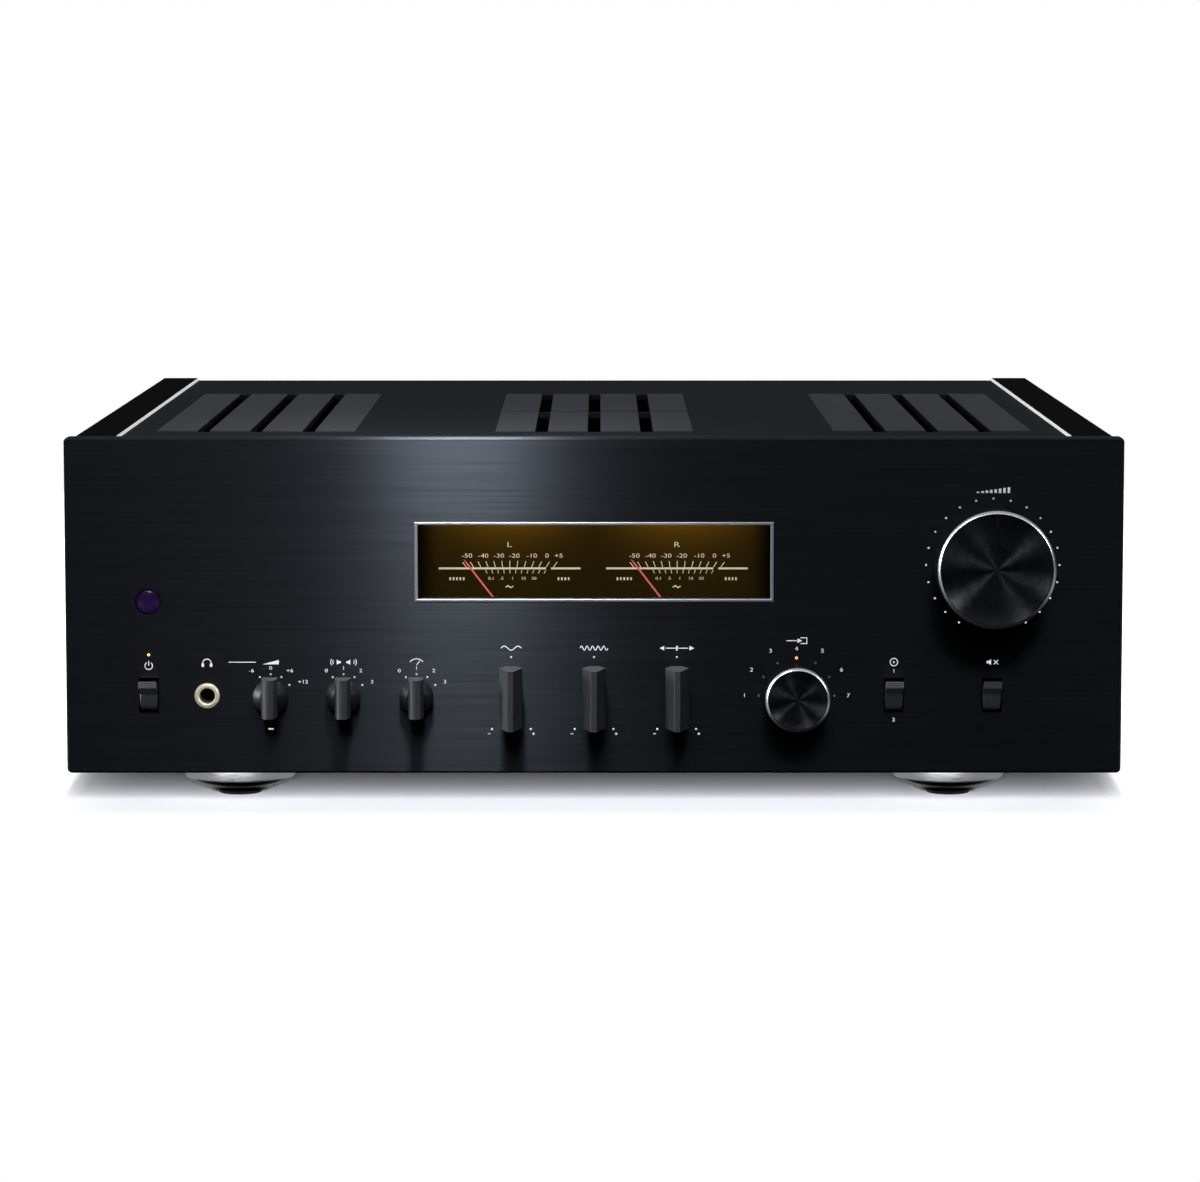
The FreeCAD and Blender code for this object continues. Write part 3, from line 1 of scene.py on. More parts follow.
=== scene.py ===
# %% [markdown]
# # An integrated amplifier in black, cell by cell
# This lesson dresses a finished CAD model of a hi-fi amplifier. The CAD gives every part its size
# and place, and Blender gives it its finish: brushed and spun aluminium, lacquer, print and
# light. Each step says what the real piece is, how it could be made, and why this way was chosen.

# %% The CAD model comes in
import math

import bmesh
import bpy
from mathutils import Matrix, Vector


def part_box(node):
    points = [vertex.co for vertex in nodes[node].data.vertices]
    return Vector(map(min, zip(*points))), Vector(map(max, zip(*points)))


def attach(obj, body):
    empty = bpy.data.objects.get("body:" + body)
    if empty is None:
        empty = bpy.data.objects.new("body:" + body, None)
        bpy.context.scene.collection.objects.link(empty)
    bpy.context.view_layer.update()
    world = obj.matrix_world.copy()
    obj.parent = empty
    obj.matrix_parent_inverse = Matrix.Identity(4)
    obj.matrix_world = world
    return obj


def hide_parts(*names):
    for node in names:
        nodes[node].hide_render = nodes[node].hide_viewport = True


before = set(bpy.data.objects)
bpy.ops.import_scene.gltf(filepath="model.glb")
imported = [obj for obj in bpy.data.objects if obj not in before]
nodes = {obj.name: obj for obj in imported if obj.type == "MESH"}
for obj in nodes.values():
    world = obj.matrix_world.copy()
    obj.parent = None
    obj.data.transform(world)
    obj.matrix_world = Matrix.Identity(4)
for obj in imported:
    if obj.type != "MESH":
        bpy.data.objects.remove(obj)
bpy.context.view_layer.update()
scene = bpy.context.scene
MM = 0.001

# %% [markdown]
# Sizes are read from the CAD boxes in millimetres, so nothing here has to be fitted by eye.
# The faceplate's front, the control row and the middle of each knob are used again and again.

# %% Sizes taken from the CAD


def corners(name):
    """The lowest and highest corner of a CAD node, in millimetres."""
    low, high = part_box(name)
    return low / MM, high / MM


def middle(name):
    """The middle of a CAD node's box, in millimetres."""
    low, high = corners(name)
    return (low + high) / 2


panel_low, panel_high = corners("front_panel")
FRONT = panel_low.y
ROW = middle("input_knob").z
REAR = corners("rear_panel")[1].y
FACE = FRONT * MM
print("faceplate front", round(FRONT, 1), "control row", round(ROW, 1), "rear", round(REAR, 1))

# %% [markdown]
# ## Camera
# A long lens a couple of metres away keeps the box nearly square on, as a catalogue picture does.
# The camera stands a little above the lid and tilts down, so that the lid shows as a thin band.

# %% Camera
camera = bpy.data.cameras.new("camera")
camera.lens, camera.sensor_width = 140.84, 36
CAMERA_AT = (1.9, FRONT - 1919.5, 296.7)  # millimetres
LOOKS_DOWN, LOOKS_RIGHT = 6.035, 0.017  # degrees
viewer = bpy.data.objects.new("camera", camera)
scene.collection.objects.link(viewer)
viewer.location = Vector(CAMERA_AT) * MM
viewer.rotation_euler = (math.radians(90 - LOOKS_DOWN), 0, -math.radians(LOOKS_RIGHT))
scene.camera = viewer
scene.view_settings.view_transform = "Standard"
print("camera at", [round(c, 3) for c in viewer.location])

# %% [markdown]
# ## Colour and node helpers
# Colours are picked as sRGB hex values and turned to linear light by one function. One more small
# function adds any node with its settings and links. A socket that is handed to it is linked, and
# a whole node stands for its first output, so that sums can be written one step to a line.

# %% Colours and nodes


def linear(code):
    """An sRGB hex value as linear red, green, blue and alpha."""
    parts = [int(code[i:i + 2], 16) / 255 for i in (0, 2, 4)]
    return [c / 12.92 if c <= 0.04045 else ((c + 0.055) / 1.055) ** 2.4 for c in parts] + [1.0]


MATH, RANGE, MIX = "ShaderNodeMath", "ShaderNodeMapRange", "ShaderNodeMix"
JOIN, SPLIT = "ShaderNodeCombineXYZ", "ShaderNodeSeparateXYZ"


def add(tree, kind, inputs=None, **settings):
    """Adds a node. Inputs go by name or number, and a socket or a node is linked."""
    made = tree.nodes.new(kind)
    for key, value in settings.items():
        setattr(made, key, value)
    for key, value in (inputs or {}).items():
        if isinstance(value, bpy.types.Node):
            value = value.outputs[0]
        if isinstance(value, bpy.types.NodeSocket):
            tree.links.new(value, made.inputs[key])
        else:
            made.inputs[key].default_value = value
    return made


# %% [markdown]
# ## Light
# The amplifier stands on a white table in a white cove. Black gloss shows what it mirrors, so the
# room around it is dark near the horizon and only a little brighter overhead. Camera rays see
# plain white behind the table. Low at the sides and the back the dome stands for the pale table
# top, which the lacquered sides mirror, but straight below it stays dark, as the shadow there is.
# A small soft light close above the left of the faceplate makes the long upright sheen of brushed
# metal, and wider soft lights fill the sides and the back.

# %% World
world = bpy.data.worlds.new("studio")
scene.world = world
world.use_nodes = True
sky = world.node_tree
sky.nodes.clear()
spot = add(sky, "ShaderNodeTexCoord").outputs["Generated"]
x, y, z = add(sky, SPLIT, {0: spot}).outputs
ramp = add(sky, "ShaderNodeValToRGB", {0: z})
STOPS = [(0.0, 0.004), (0.15, 0.007), (0.35, 0.05), (0.7, 0.25), (1.0, 0.45)]  # height, light
COOL = 1.03
while len(ramp.color_ramp.elements) < len(STOPS):
    ramp.color_ramp.elements.new(0.5)
for element, (place, value) in zip(ramp.color_ramp.elements, STOPS):
    element.position = place
    element.color = (value, value, value * COOL, 1)
TABLE_LIGHT = 0.35
across = add(sky, MATH, {0: x}, operation="ABSOLUTE")
away = add(sky, MATH, {0: across, 1: y}, operation="MAXIMUM")
aside = add(sky, RANGE, {"Value": away, "From Min": 0.3, "From Max": 0.65, "To Max": TABLE_LIGHT})
below = add(sky, RANGE, {"Value": z, "From Min": 0.0, "From Max": -0.3})
shallow = add(sky, RANGE, {"Value": z, "From Min": -0.6, "From Max": -0.4})
bounce = add(sky, MATH, {0: below, 1: aside}, operation="MULTIPLY")
bounce = add(sky, MATH, {0: bounce, 1: shallow}, operation="MULTIPLY")
lit = add(sky, MIX, {0: 1.0, 6: ramp, 7: bounce}, data_type="RGBA", blend_type="ADD")
dome = add(sky, "ShaderNodeBackground", {"Color": lit.outputs[2], "Strength": 1.0})
plain = add(sky, "ShaderNodeBackground", {"Color": (1, 1, 1, 1), "Strength": 1.0})
seen = add(sky, "ShaderNodeLightPath").outputs["Is Camera Ray"]
both = add(sky, "ShaderNodeMixShader", {0: seen, 1: dome, 2: plain})
add(sky, "ShaderNodeOutputWorld", {"Surface": both})
print("dome with", len(STOPS), "stops")

# %% Soft lights


def soft_light(name, place, target, width, tall, power, colour="FFFFFF", spread=180):
    """A rectangular soft light at a place in metres, facing a target."""
    lamp = bpy.data.lights.new(name, "AREA")
    lamp.spread = math.radians(spread)
    lamp.shape, lamp.size, lamp.size_y, lamp.energy = "RECTANGLE", width, tall, power
    lamp.color = linear(colour)[:3]
    stand = bpy.data.objects.new(name, lamp)
    scene.collection.objects.link(stand)
    stand.location = place
    stand.rotation_euler = (Vector(target) - Vector(place)).to_track_quat("-Z", "Y").to_euler()
    stand.visible_camera = False
    return stand


MIDDLE = (0, FACE, 0.09)
BEHIND = (0, REAR * MM, 0.08)
COOL_WHITE = "F2F7FF"
front_lamps = [
    soft_light("sheen_core", (-0.062, -0.37, 0.40), (-0.062, FACE, 0.17), 0.06, 0.05, 0.14,
               "F8FBFF", spread=50),
    soft_light("sheen_wide", (-0.17, -1.5, 0.85), (-0.06, FACE, 0.09), 0.30, 0.20, 0.8, "F4F9FC"),
    soft_light("front_fill", (0.1, -1.5, 1.30), MIDDLE, 2.4, 0.25, 6.4, COOL_WHITE),
    soft_light("side_left", (-1.6, -0.9, 0.7), MIDDLE, 0.5, 0.9, 7, COOL_WHITE),
    soft_light("side_right", (1.7, -1.1, 0.85), (0.1, FACE, 0.09), 0.3, 0.5, 8, COOL_WHITE)]
back_lamps = [
    soft_light("back_left", (-1.3, 1.6, 1.0), BEHIND, 0.8, 0.8, 14),
    soft_light("back_right", (1.2, 1.8, 0.7), BEHIND, 0.6, 0.8, 11)]
print(len(front_lamps), "lights in front,", len(back_lamps), "behind")

# %% [markdown]
# Other lights reach only one group of pieces: the knobs, the bars and paddles, the round parts,
# the lid or the feet. Each light's receivers are a collection, which is filled as the pieces are
# made. The feet get a low wide light, as their chrome would mirror the pale table. The lights
# above work the other way round: they reach all but what is put in their collection.

# %% Lights for one group each


def linked(name, *lamps):
    """A collection of the only objects that these lights reach."""
    group = bpy.data.collections.new(name)
    for lamp in lamps:
        lamp.light_linking.receiver_collection = group
    return group


def spare(group, thing):
    """Keeps the lights of a collection off an object."""
    group.objects.link(thing)
    for entry in group.collection_objects:
        entry.light_linking.link_state = "EXCLUDE"


no_front = linked("not_lit_from_the_front", *front_lamps)
no_back = linked("not_lit_from_the_back", *back_lamps)
for_knobs = linked(
    "lit_by_knob_lights",
    soft_light("knob_left", (-1.5, -0.75, 0.55), (0, FACE, 0.06), 0.25, 0.7, 30))
for_rounds = linked(
    "lit_by_round_lights",
    soft_light("round_right", (1.3, -1.2, 0.75), (0.1, FACE, 0.08), 0.2, 0.2, 8),
    soft_light("round_top", (-0.5, -1.0, 1.2), (0.1, FACE, 0.08), 0.3, 0.2, 5))
for_bars = linked(
    "lit_by_bar_lights",
    soft_light("bar_left", (-1.6, FACE - 0.09, 0.2), (0, FACE, 0.05), 0.1, 0.3, 42),
    soft_light("bar_top", (-0.1, FACE - 0.11, 1.2), (0, FACE, 0.06), 0.3, 0.2, 52))
for_lid = linked(
    "lit_by_lid_light",
    soft_light("lid_back", (0, 1.7, 0.08), (0, 0.2, 0.08), 1.6, 0.12, 4, "DDEBFF"))
for_feet = linked(
    "lit_by_foot_light",
    soft_light("foot_front", (-0.3, -1.9, 0.06), (0, FACE, 0.01), 2.4, 0.05, 80))
print("lamp groups", [group.name for group in bpy.data.collections])

# %% [markdown]
# The table has its own two lights, linked to it alone, so that it can be white while the black
# amplifier keeps its depth. One is overhead. The other is low in front, and its light reaches a
# little way under the amplifier, where the shadow fades from front to back. Mirrored and
# refracted rays don't see the table, because its white would hide the black of the plate and the
# dials.

# %% Table and its lights
table_mesh = bpy.data.meshes.new("table")
table_shape = bmesh.new()
TABLE_MIDDLE, TABLE_HALVES = (0, 0.3, 0), (1.6, 1.1, 1, 1)  # metres
bmesh.ops.create_grid(table_shape, x_segments=1, y_segments=1, size=1.0,
                      matrix=Matrix.Translation(TABLE_MIDDLE) @ Matrix.Diagonal(TABLE_HALVES))
table_shape.to_mesh(table_mesh)
table = bpy.data.objects.new("table", table_mesh)
scene.collection.objects.link(table)
table.visible_glossy = False
table.visible_transmission = False
only_table = linked(
    "lit_by_table_lights",
    soft_light("table_overhead", (0, 0.1, 2.5), (0, 0.1, 0), 0.15, 3.0, 120),
    soft_light("table_front", (0, -2.6, 0.57), (0, FACE, 0), 0.4, 0.64, 290, "F5F8FF"))
only_table.objects.link(table)
spare(no_front, table)
spare(no_back, table)

# %% [markdown]
# ## Finishes
# Every finish starts from what the real surface is. One function makes a material with a
# Principled shader and an even colour. The next adds the grain: noise that is stretched to real
# lengths and drives the bump, the colour and the roughness. Patterns read Object coordinates,
# which are the object's real metres, so a scale in millimetres stays true.

# %% A material with its shader and grain


def plain_finish(name, colour, metallic, roughness, **sockets):
    """A new material: its colour as sRGB hex, and any other shader socket by its name."""
    made = bpy.data.materials.new(name)
    made.use_nodes = True
    tree = made.node_tree
    tree.nodes.clear()
    shader = add(tree, "ShaderNodeBsdfPrincipled", {
        "Base Color": linear(colour), "Metallic": metallic, "Roughness": roughness})
    for key, value in sockets.items():
        shader.inputs[key.replace("_", " ")].default_value = value
    add(tree, "ShaderNodeOutputMaterial", {"Surface": shader})
    return made, tree, shader


def finish(name, colour, metallic, roughness, long_mm, depth, shades, rough=None, detail=3.0,
           brushed=None, **sockets):
    """A material with grain: lengths along X, Y and Z and a depth in millimetres, two shades, two
    roughnesses, and the axis that a brushed or turned surface's tangent goes round."""
    made, tree, shader = plain_finish(name, colour, metallic, roughness, **sockets)
    spot = add(tree, "ShaderNodeMapping", {
        "Vector": add(tree, "ShaderNodeTexCoord").outputs["Object"],
        "Scale": [1 / (length * MM) for length in long_mm]})
    noise = add(tree, "ShaderNodeTexNoise", {
        "Vector": spot, "Scale": 1.0, "Detail": detail, "Roughness": 0.6})
    blend = add(tree, MIX, {0: noise, 6: linear(shades[0]), 7: linear(shades[1])},
                data_type="RGBA")
    grain = {"Base Color": blend.outputs[2]}
    if depth:
        grain["Normal"] = add(tree, "ShaderNodeBump", {
            "Height": noise, "Distance": depth * MM, "Strength": 1.0}).outputs[0]
    if rough:
        grain["Roughness"] = add(tree, RANGE, {
            "Value": noise, "From Min": 0.3, "From Max": 0.7, "To Min": rough[0],
            "To Max": rough[1]}).outputs[0]
    if brushed:
        grain["Tangent"] = add(tree, "ShaderNodeTangent", direction_type="RADIAL",
                               axis=brushed).outputs[0]
    for key, socket in grain.items():
        tree.links.new(socket, shader.inputs[key])
    return made


# %% [markdown]
# ### The table
# A matt white laminate. Its faint mottle is too small to see on white, but it keeps the table
# from being a bare colour.

# %% White laminate
laminate = finish(
    "matt_white_laminate", "F4F4F4", 0.0, 0.9, (4, 4, 4), 0.01, ("F2F2F2", "F6F6F6"),
    Specular_IOR_Level=0.1)
table_mesh.materials.append(laminate)

# %% [markdown]
# ### Brushed black aluminium
# The faceplate is aluminium that is brushed from side to side, dyed black and sealed. Brushing
# leaves long parallel scratches, and these smear every reflection up and down. Bump alone can't
# do that from this far away, so the shader's anisotropy does it: the tangent runs up the plate,
# across the scratches. Fine lines, drawn coarser than the real 0.1 mm so that they show, vary the
# colour and the roughness.

# %% Brushed, dyed and sealed aluminium
brushed_black = finish(
    "brushed_black_anodised_aluminium", "34373C", 1.0, 0.36, (60, 20, 0.35), 0.004,
    ("282A2E", "3E4247"), (0.33, 0.39), 4.0, "X", Anisotropic=0.98)

# %% [markdown]
# ### The other black surfaces
# The side panels are lacquered and polished like a piano lid. The lid, the floor and the back are
# steel sheet with a fine powder coat, a dielectric with a soft orange-peel texture.

# %% Lacquer and powder coat
lacquer = finish(
    "polished_black_lacquer", "060608", 0.0, 0.12, (60, 60, 60), 0.02, ("050507", "09090B"),
    IOR=1.5, Coat_Weight=1.0, Coat_Roughness=0.04)
powder = finish(
    "powder_coated_steel_sheet", "0F1216", 0.0, 0.5, (0.9, 0.9, 0.9), 0.012, ("0C0E12", "13161B"),
    (0.44, 0.56), IOR=1.5, Specular_IOR_Level=0.25)
rear_paint = finish(
    "satin_black_painted_sheet", "141517", 0.0, 0.5, (0.7, 0.7, 0.7), 0.01, ("111214", "191A1D"),
    (0.44, 0.56), IOR=1.5)

# %% [markdown]
# ### Bare and plated metals
# Zinc plate on steel has a dull, slightly blue crystal pattern. Chrome is nearly a mirror. Gold
# and nickel plate on turned brass keep the faint rings of the lathe.

# %% Metals
zinc = finish(
    "zinc_plated_steel", "A9ACAE", 1.0, 0.4, (3, 3, 3), 0.0, ("8F9396", "B7BABB"), (0.3, 0.5))
chrome = finish(
    "polished_chrome_plate", "D9DADC", 1.0, 0.12, (8, 8, 0.5), 0.002, ("C9CBCE", "E2E3E5"),
    (0.08, 0.18), Anisotropic=0.5)
bezel_alloy = finish(
    "milled_bright_aluminium", "D6D8DA", 1.0, 0.5, (30, 2, 0.4), 0.002, ("C8CBCE", "E0E2E4"),
    (0.45, 0.55))
gilt = finish(
    "gold_plated_brass", "F2E2B8", 1.0, 0.42, (2, 0.3, 2), 0.002, ("EAD6A4", "F8ECC8"),
    (0.36, 0.46))
nickel = finish(
    "nickel_plated_brass", "C9C4B8", 1.0, 0.25, (2, 0.3, 2), 0.002, ("B9B4A8", "D4D0C6"),
    (0.18, 0.32))
sink_alloy = finish(
    "extruded_black_anodised_alloy", "26282B", 1.0, 0.45, (0.6, 40, 0.6), 0.01,
    ("1E2023", "303337"), (0.38, 0.52))

# %% [markdown]
# ### Plastics, card, board and felt
# Moulded ABS is slightly glossy with a fine spark-eroded texture. The felt under the feet is
# rough. The board is glass-fibre laminate under green resist, and the winding is lacquered copper
# wire.

# %% Plastics and the rest
plastic = finish(
    "moulded_black_abs", "121315", 0.0, 0.42, (0.5, 0.5, 0.5), 0.008, ("0E0F11", "17181A"),
    (0.36, 0.48), IOR=1.53)
felt = finish(
    "pressed_black_felt", "1A1A1B", 0.0, 0.95, (0.3, 0.3, 0.3), 0.05, ("121213", "252527"),
    Sheen_Weight=0.3)
board = finish(
    "green_solder_resist_laminate", "1F4A33", 0.0, 0.35, (1.2, 1.2, 1.2), 0.01,
    ("173A27", "2A5C40"), (0.3, 0.42), IOR=1.55)
winding = finish(
    "enamelled_copper_wire", "8C4A26", 1.0, 0.35, (6, 6, 1.0), 0.1, ("703618", "A5602F"),
    (0.28, 0.42))
sleeve = finish(
    "shrunk_black_pvc_sleeve", "15171C", 0.0, 0.3, (5, 5, 20), 0.02, ("121418", "1B1E24"),
    (0.25, 0.36), IOR=1.53)
print(len(bpy.data.materials), "materials so far")

# %% [markdown]
# ### Which CAD node wears which finish
# A CAD node is never moved or reshaped. Its material slot is emptied and filled again.

# %% Finishes on the CAD nodes


def dress(finish_used, *names):
    """Gives CAD nodes a finish."""
    for name in names:
        nodes[name].data.materials.clear()
        nodes[name].data.materials.append(finish_used)


dress(brushed_black, "front_panel")
dress(lacquer, "side_panel_left", "side_panel_right")
dress(powder, "top_cover")
for_lid.objects.link(nodes["top_cover"])
spare(no_back, nodes["top_cover"])
dress(rear_paint, "rear_panel", "base_plate", "front_subframe", "meter_housing")
dress(zinc, "chassis_frames", "chassis_screws", "board_standoffs", "large_bolts")
dress(chrome, "foot_discs")
dress(felt, "foot_pads")
dress(bezel_alloy, "meter_bezel")
dress(gilt, "headphone_jack_ring", "terminal_studs")
dress(nickel, "potentiometers", "ground_nut", "phono_sockets")
dress(plastic, "rotary_switches", "toggle_switches", "headphone_jack", "terminal_insulators",
      "balanced_sockets", "mains_inlet", "output_transistors", "meter_movements")
dress(board, "control_board", "amplifier_boards", "power_supply_board", "input_board")
dress(winding, "transformer")
dress(sleeve, "filter_capacitors")
dress(sink_alloy, "heat_sinks")
dress(gilt, *[name for name in nodes if name.startswith("terminal_cap_")])

# %% [markdown]
# ## Pieces
# A piece is built in millimetres in its own small space, with Z pointing out of the surface that
# it sits on, and one matrix then puts its mesh where it belongs. The object itself stays at the
# origin.

# %% Places and the piece maker


def on_front(x, z, out=0.0):
    """From a piece's own space to the faceplate: X stays, Y goes up, and Z comes forward."""
    turn = Matrix(((1, 0, 0, x), (0, 0, -1, FRONT - out), (0, 1, 0, z), (0, 0, 0, 1)))
    return Matrix.Scale(MM, 4) @ turn


def on_back(x, z):
    """From a piece's own space to the back, seen from behind: Z goes backwards."""
    turn = Matrix(((-1, 0, 0, x), (0, 0, 1, REAR), (0, 1, 0, z), (0, 0, 0, 1)))
    return Matrix.Scale(MM, 4) @ turn


UPRIGHT = Matrix.Scale(MM, 4)  # for pieces that are built where they stand


def piece(name, shape, where, finishes, body="chassis", stands_for=(), smooth=30,
          lit_with=()):
    """Turns a bmesh into a finished object that rides on a body."""
    mesh = bpy.data.meshes.new(name)
    if where is not None:
        shape.transform(where)
    bmesh.ops.remove_doubles(shape, verts=shape.verts, dist=1e-7)
    bmesh.ops.recalc_face_normals(shape, faces=shape.faces)
    shape.to_mesh(mesh)
    shape.free()
    for used in finishes if isinstance(finishes, (list, tuple)) else [finishes]:
        mesh.materials.append(used)
    if smooth:
        mesh.shade_smooth()
        mesh.set_sharp_from_angle(angle=math.radians(smooth))
    made = bpy.data.objects.new(name, mesh)
    scene.collection.objects.link(made)
    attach(made, body)
    if stands_for:
        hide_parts(*stands_for)
    for group in lit_with:
        group.objects.link(made)
    print(name, len(mesh.polygons), "faces")
    return made


# %% Turned and flat shapes


def turned(shape, profile, steps=96, paint=0, where=None, closed=False):
    """Adds a lathe shape: profile points are radius and height, and radius 0 is a pole."""
    rings = []
    for radius, height in profile:
        count = 1 if radius == 0 else steps
        ring = []
        for i in range(count):
            angle = math.tau * i / count
            spot = Vector((radius * math.cos(angle), radius * math.sin(angle), height))
            ring.append(shape.verts.new(where @ spot if where else spot))
        rings.append(ring)
    pairs = list(zip(rings, rings[1:])) + ([(rings[-1], rings[0])] if closed else [])
    for low, high in pairs:
        for i in range(steps):
            j = (i + 1) % steps
            loop = [low[i % len(low)], low[j % len(low)], high[j % len(high)], high[i % len(high)]]
            loop = list(dict.fromkeys(loop))
            if len(loop) > 2:
                shape.faces.new(loop).material_index = paint
    return shape


def slab(shape, points, low, high, paint=0, where=None):
    """Adds a flat shape with straight walls: an outline of X and Y, from one height to another."""
    levels = []
    for height in (low, high):
        spots = [Vector((x, y, height)) for x, y in points]
        levels.append([shape.verts.new(where @ s if where else s) for s in spots])
    bottom, top = levels
    faces = [shape.faces.new(top), shape.faces.new(bottom[::-1])]
    for i in range(len(points)):
        j = (i + 1) % len(points)
        faces.append(shape.faces.new([bottom[i], bottom[j], top[j], top[i]]))
    for face in faces:
        face.material_index = paint
    return faces


def block(shape, x, y, far_x, far_y, *heights):
    """Adds a box from one corner of its outline to the other."""
    return slab(shape, [(x, y), (far_x, y), (far_x, far_y), (x, far_y)], *heights)


# %% [markdown]
# ### Spun aluminium
# The two large knobs are turned from bar, faced on a lathe and dyed black. The tool leaves fine
# rings, so light spreads along the radius and shows as bright wedges. The tangent here runs round
# the axis, and a quarter turn of the anisotropy makes the light spread across the rings. The
# bevel is cut with a diamond tool after the dye, so it is bare and bright.

# %% Spun face, smooth side, diamond-cut bevel
spun_black = finish(
    "spun_black_anodised_aluminium", "404146", 1.0, 0.3, (2, 2, 2), 0.0, ("3A3B40", "46474D"),
    (0.27, 0.33), brushed="Y", Anisotropic=0.92, Anisotropic_Rotation=0.25)
satin_black = finish(
    "satin_black_anodised_aluminium", "1E1F22", 0.3, 0.46, (0.4, 0.4, 6), 0.003,
    ("191A1D", "242529"), (0.42, 0.51))
black_skirt = finish(
    "smooth_black_anodised_aluminium", "0A0B0D", 0.2, 0.42, (2, 2, 0.4), 0.002,
    ("08090A", "0D0E10"), (0.38, 0.46), Specular_IOR_Level=0.15)
bare_bevel = finish(
    "diamond_cut_aluminium", "D8D9DB", 1.0, 0.30, (0.5, 8, 0.5), 0.001, ("C6C8CA", "E4E5E6"),
    (0.24, 0.36))

# %% [markdown]
# ## The two large knobs
# Each is one lathe profile: a side wall, the bright bevel, a face that is dished by half a
# millimetre, and behind it the bore that takes the shaft. The volume knob's pointer is a slim bar
# in matt black, let into the face so that its top lies level with the rim.

# %% Knob profiles
GAP = 1.0  # from the faceplate to the knob's back
BEVEL = 1.2
LIP = 0.45  # between the bevel and the dish
DISH = 0.5
BORE, BORE_END = 3.0, -8.0


def spun_knob(name):
    """A spun knob in place of its CAD node: smooth wall, bare bevel, spun face."""
    low, high = corners(name)
    centre = middle(name)
    radius, reach = (high.x - low.x) / 2, FRONT - low.y
    shape = bmesh.new()
    face = radius - BEVEL - LIP
    turned(shape, [(BORE, GAP), (radius - 0.3, GAP), (radius, GAP + 0.3), (radius, reach - BEVEL)],
           160)
    turned(shape, [(radius, reach - BEVEL), (radius - 0.12, reach - BEVEL + 0.35),
                   (radius - BEVEL + 0.25, reach - 0.1), (radius - BEVEL, reach)], 160, paint=1)
    turned(shape, [(radius - BEVEL, reach), (face, reach), (face - 0.3, reach - 0.12),
                   (face * 0.66, reach - DISH * 0.55), (face * 0.33, reach - DISH * 0.85),
                   (0, reach - DISH)], 160, paint=2)
    turned(shape, [(BORE, GAP), (BORE, BORE_END), (0, BORE_END)], 160)
    piece(name + "_turned", shape, on_front(centre.x, centre.z),
          [black_skirt, bare_bevel, spun_black], name, [name],
          lit_with=[for_knobs, for_rounds])
    print(name, "radius", round(radius, 2), "reach", round(reach, 2))
    return reach


volume_reach = spun_knob("volume_knob")
spun_knob("input_knob")

# %% The volume pointer
# The pointer groove is drawn as a flat matt black bar that reflects almost nothing, darker than
# the spun face
pointer_black = finish(
    "matt_black_pointer_bar", "050506", 0.0, 0.7, (0.5, 0.5, 0.5), 0.01, ("040405", "080809"),
    Specular_IOR_Level=0.05)
volume_at = middle("volume_knob")
POINTER_HALF, POINTER_START, POINTER_END, POINTER_DEEP = 0.65, 14.6, 22.2, 0.45
shape = bmesh.new()
block(shape, -POINTER_HALF, POINTER_START, POINTER_HALF, POINTER_END,
      volume_reach - POINTER_DEEP, volume_reach)
piece("volume_pointer", shape, on_front(volume_at.x, volume_at.z), pointer_black, "volume_knob",
      smooth=0)

# %% [markdown]
# ## The tone bars
# Bass, treble and balance turn tall bars with a ridge along the front. A closed prism gets a
# small bevel on its edges, since real edges are never perfectly sharp and they catch the light.

# %% Bars


def soften(shape, width, segments=2, angle=20):
    """Rounds every edge that is sharper than the angle."""
    sharp = [e for e in shape.edges
             if len(e.link_faces) == 2 and e.calc_face_angle() > math.radians(angle)]
    bmesh.ops.bevel(shape, geom=sharp, offset=width, segments=segments, profile=0.6,
                    affect="EDGES", clamp_overlap=True)


STAND_UP = Matrix.Rotation(math.radians(-90), 4, "X")  # a section's X and Y become X and Z


def ridge_bar(shape, section, length):
    """A prism whose section is half widths and heights, as long as it is tall."""
    outline = [(x, -z) for x, z in section] + [(-x, -z) for x, z in section[::-1]]
    return slab(shape, outline, -length / 2, length / 2, where=STAND_UP)


TONE_KNOBS = ("bass_knob", "treble_knob", "balance_knob")
for name in TONE_KNOBS:
    low, high = corners(name)
    centre = middle(name)
    reach, length = FRONT - low.y, high.z - low.z
    half = (high.x - low.x) / 2
    shape = bmesh.new()
    ridge_bar(shape, [(2.3, GAP), (half, 8.0), (1.1, reach)], length)
    soften(shape, 0.35)
    turned(shape, [(0, 0.5), (4.6, 0.5), (4.6, 7.5), (0, 7.5)], 48)
    piece(name + "_bar", shape, on_front(centre.x, centre.z), satin_black, name,
          [name], lit_with=[for_knobs, for_bars])

# %% [markdown]
# ## The selectors
# Three small knobs have a round skirt and a bar across it, whose narrow left and right facets
# slope up to a flat ridge.

# %% Selectors
SELECTORS = ("trim_knob", "speakers_knob", "meter_knob")
for name in SELECTORS:
    low, high = corners(name)
    centre = middle(name)
    reach, length = FRONT - low.y, high.z - low.z
    shape = bmesh.new()
    ridge_bar(shape, [(3.1, 3.0), (3.1, 10.4), (2.0, reach - 0.6), (0.9, reach)], length)
    soften(shape, 0.3)
    turned(shape, [(0, GAP), (6.8, GAP), (7.0, GAP + 0.2), (7.0, 4.7), (6.6, 5.1),
                   (4.2, 7.9), (3.6, 8.2), (0, 8.2)], 96, paint=1)
    piece(name + "_cap", shape, on_front(centre.x, centre.z), [satin_black, black_skirt], name,
          [name], lit_with=[for_knobs, for_bars])

# %% [markdown]
# ## The levers
# Power, phono and mute are toggles: a drum in the slot carries a flat paddle, which at rest hangs
# forward and down. Three ribs across the tip give a fingertip hold.

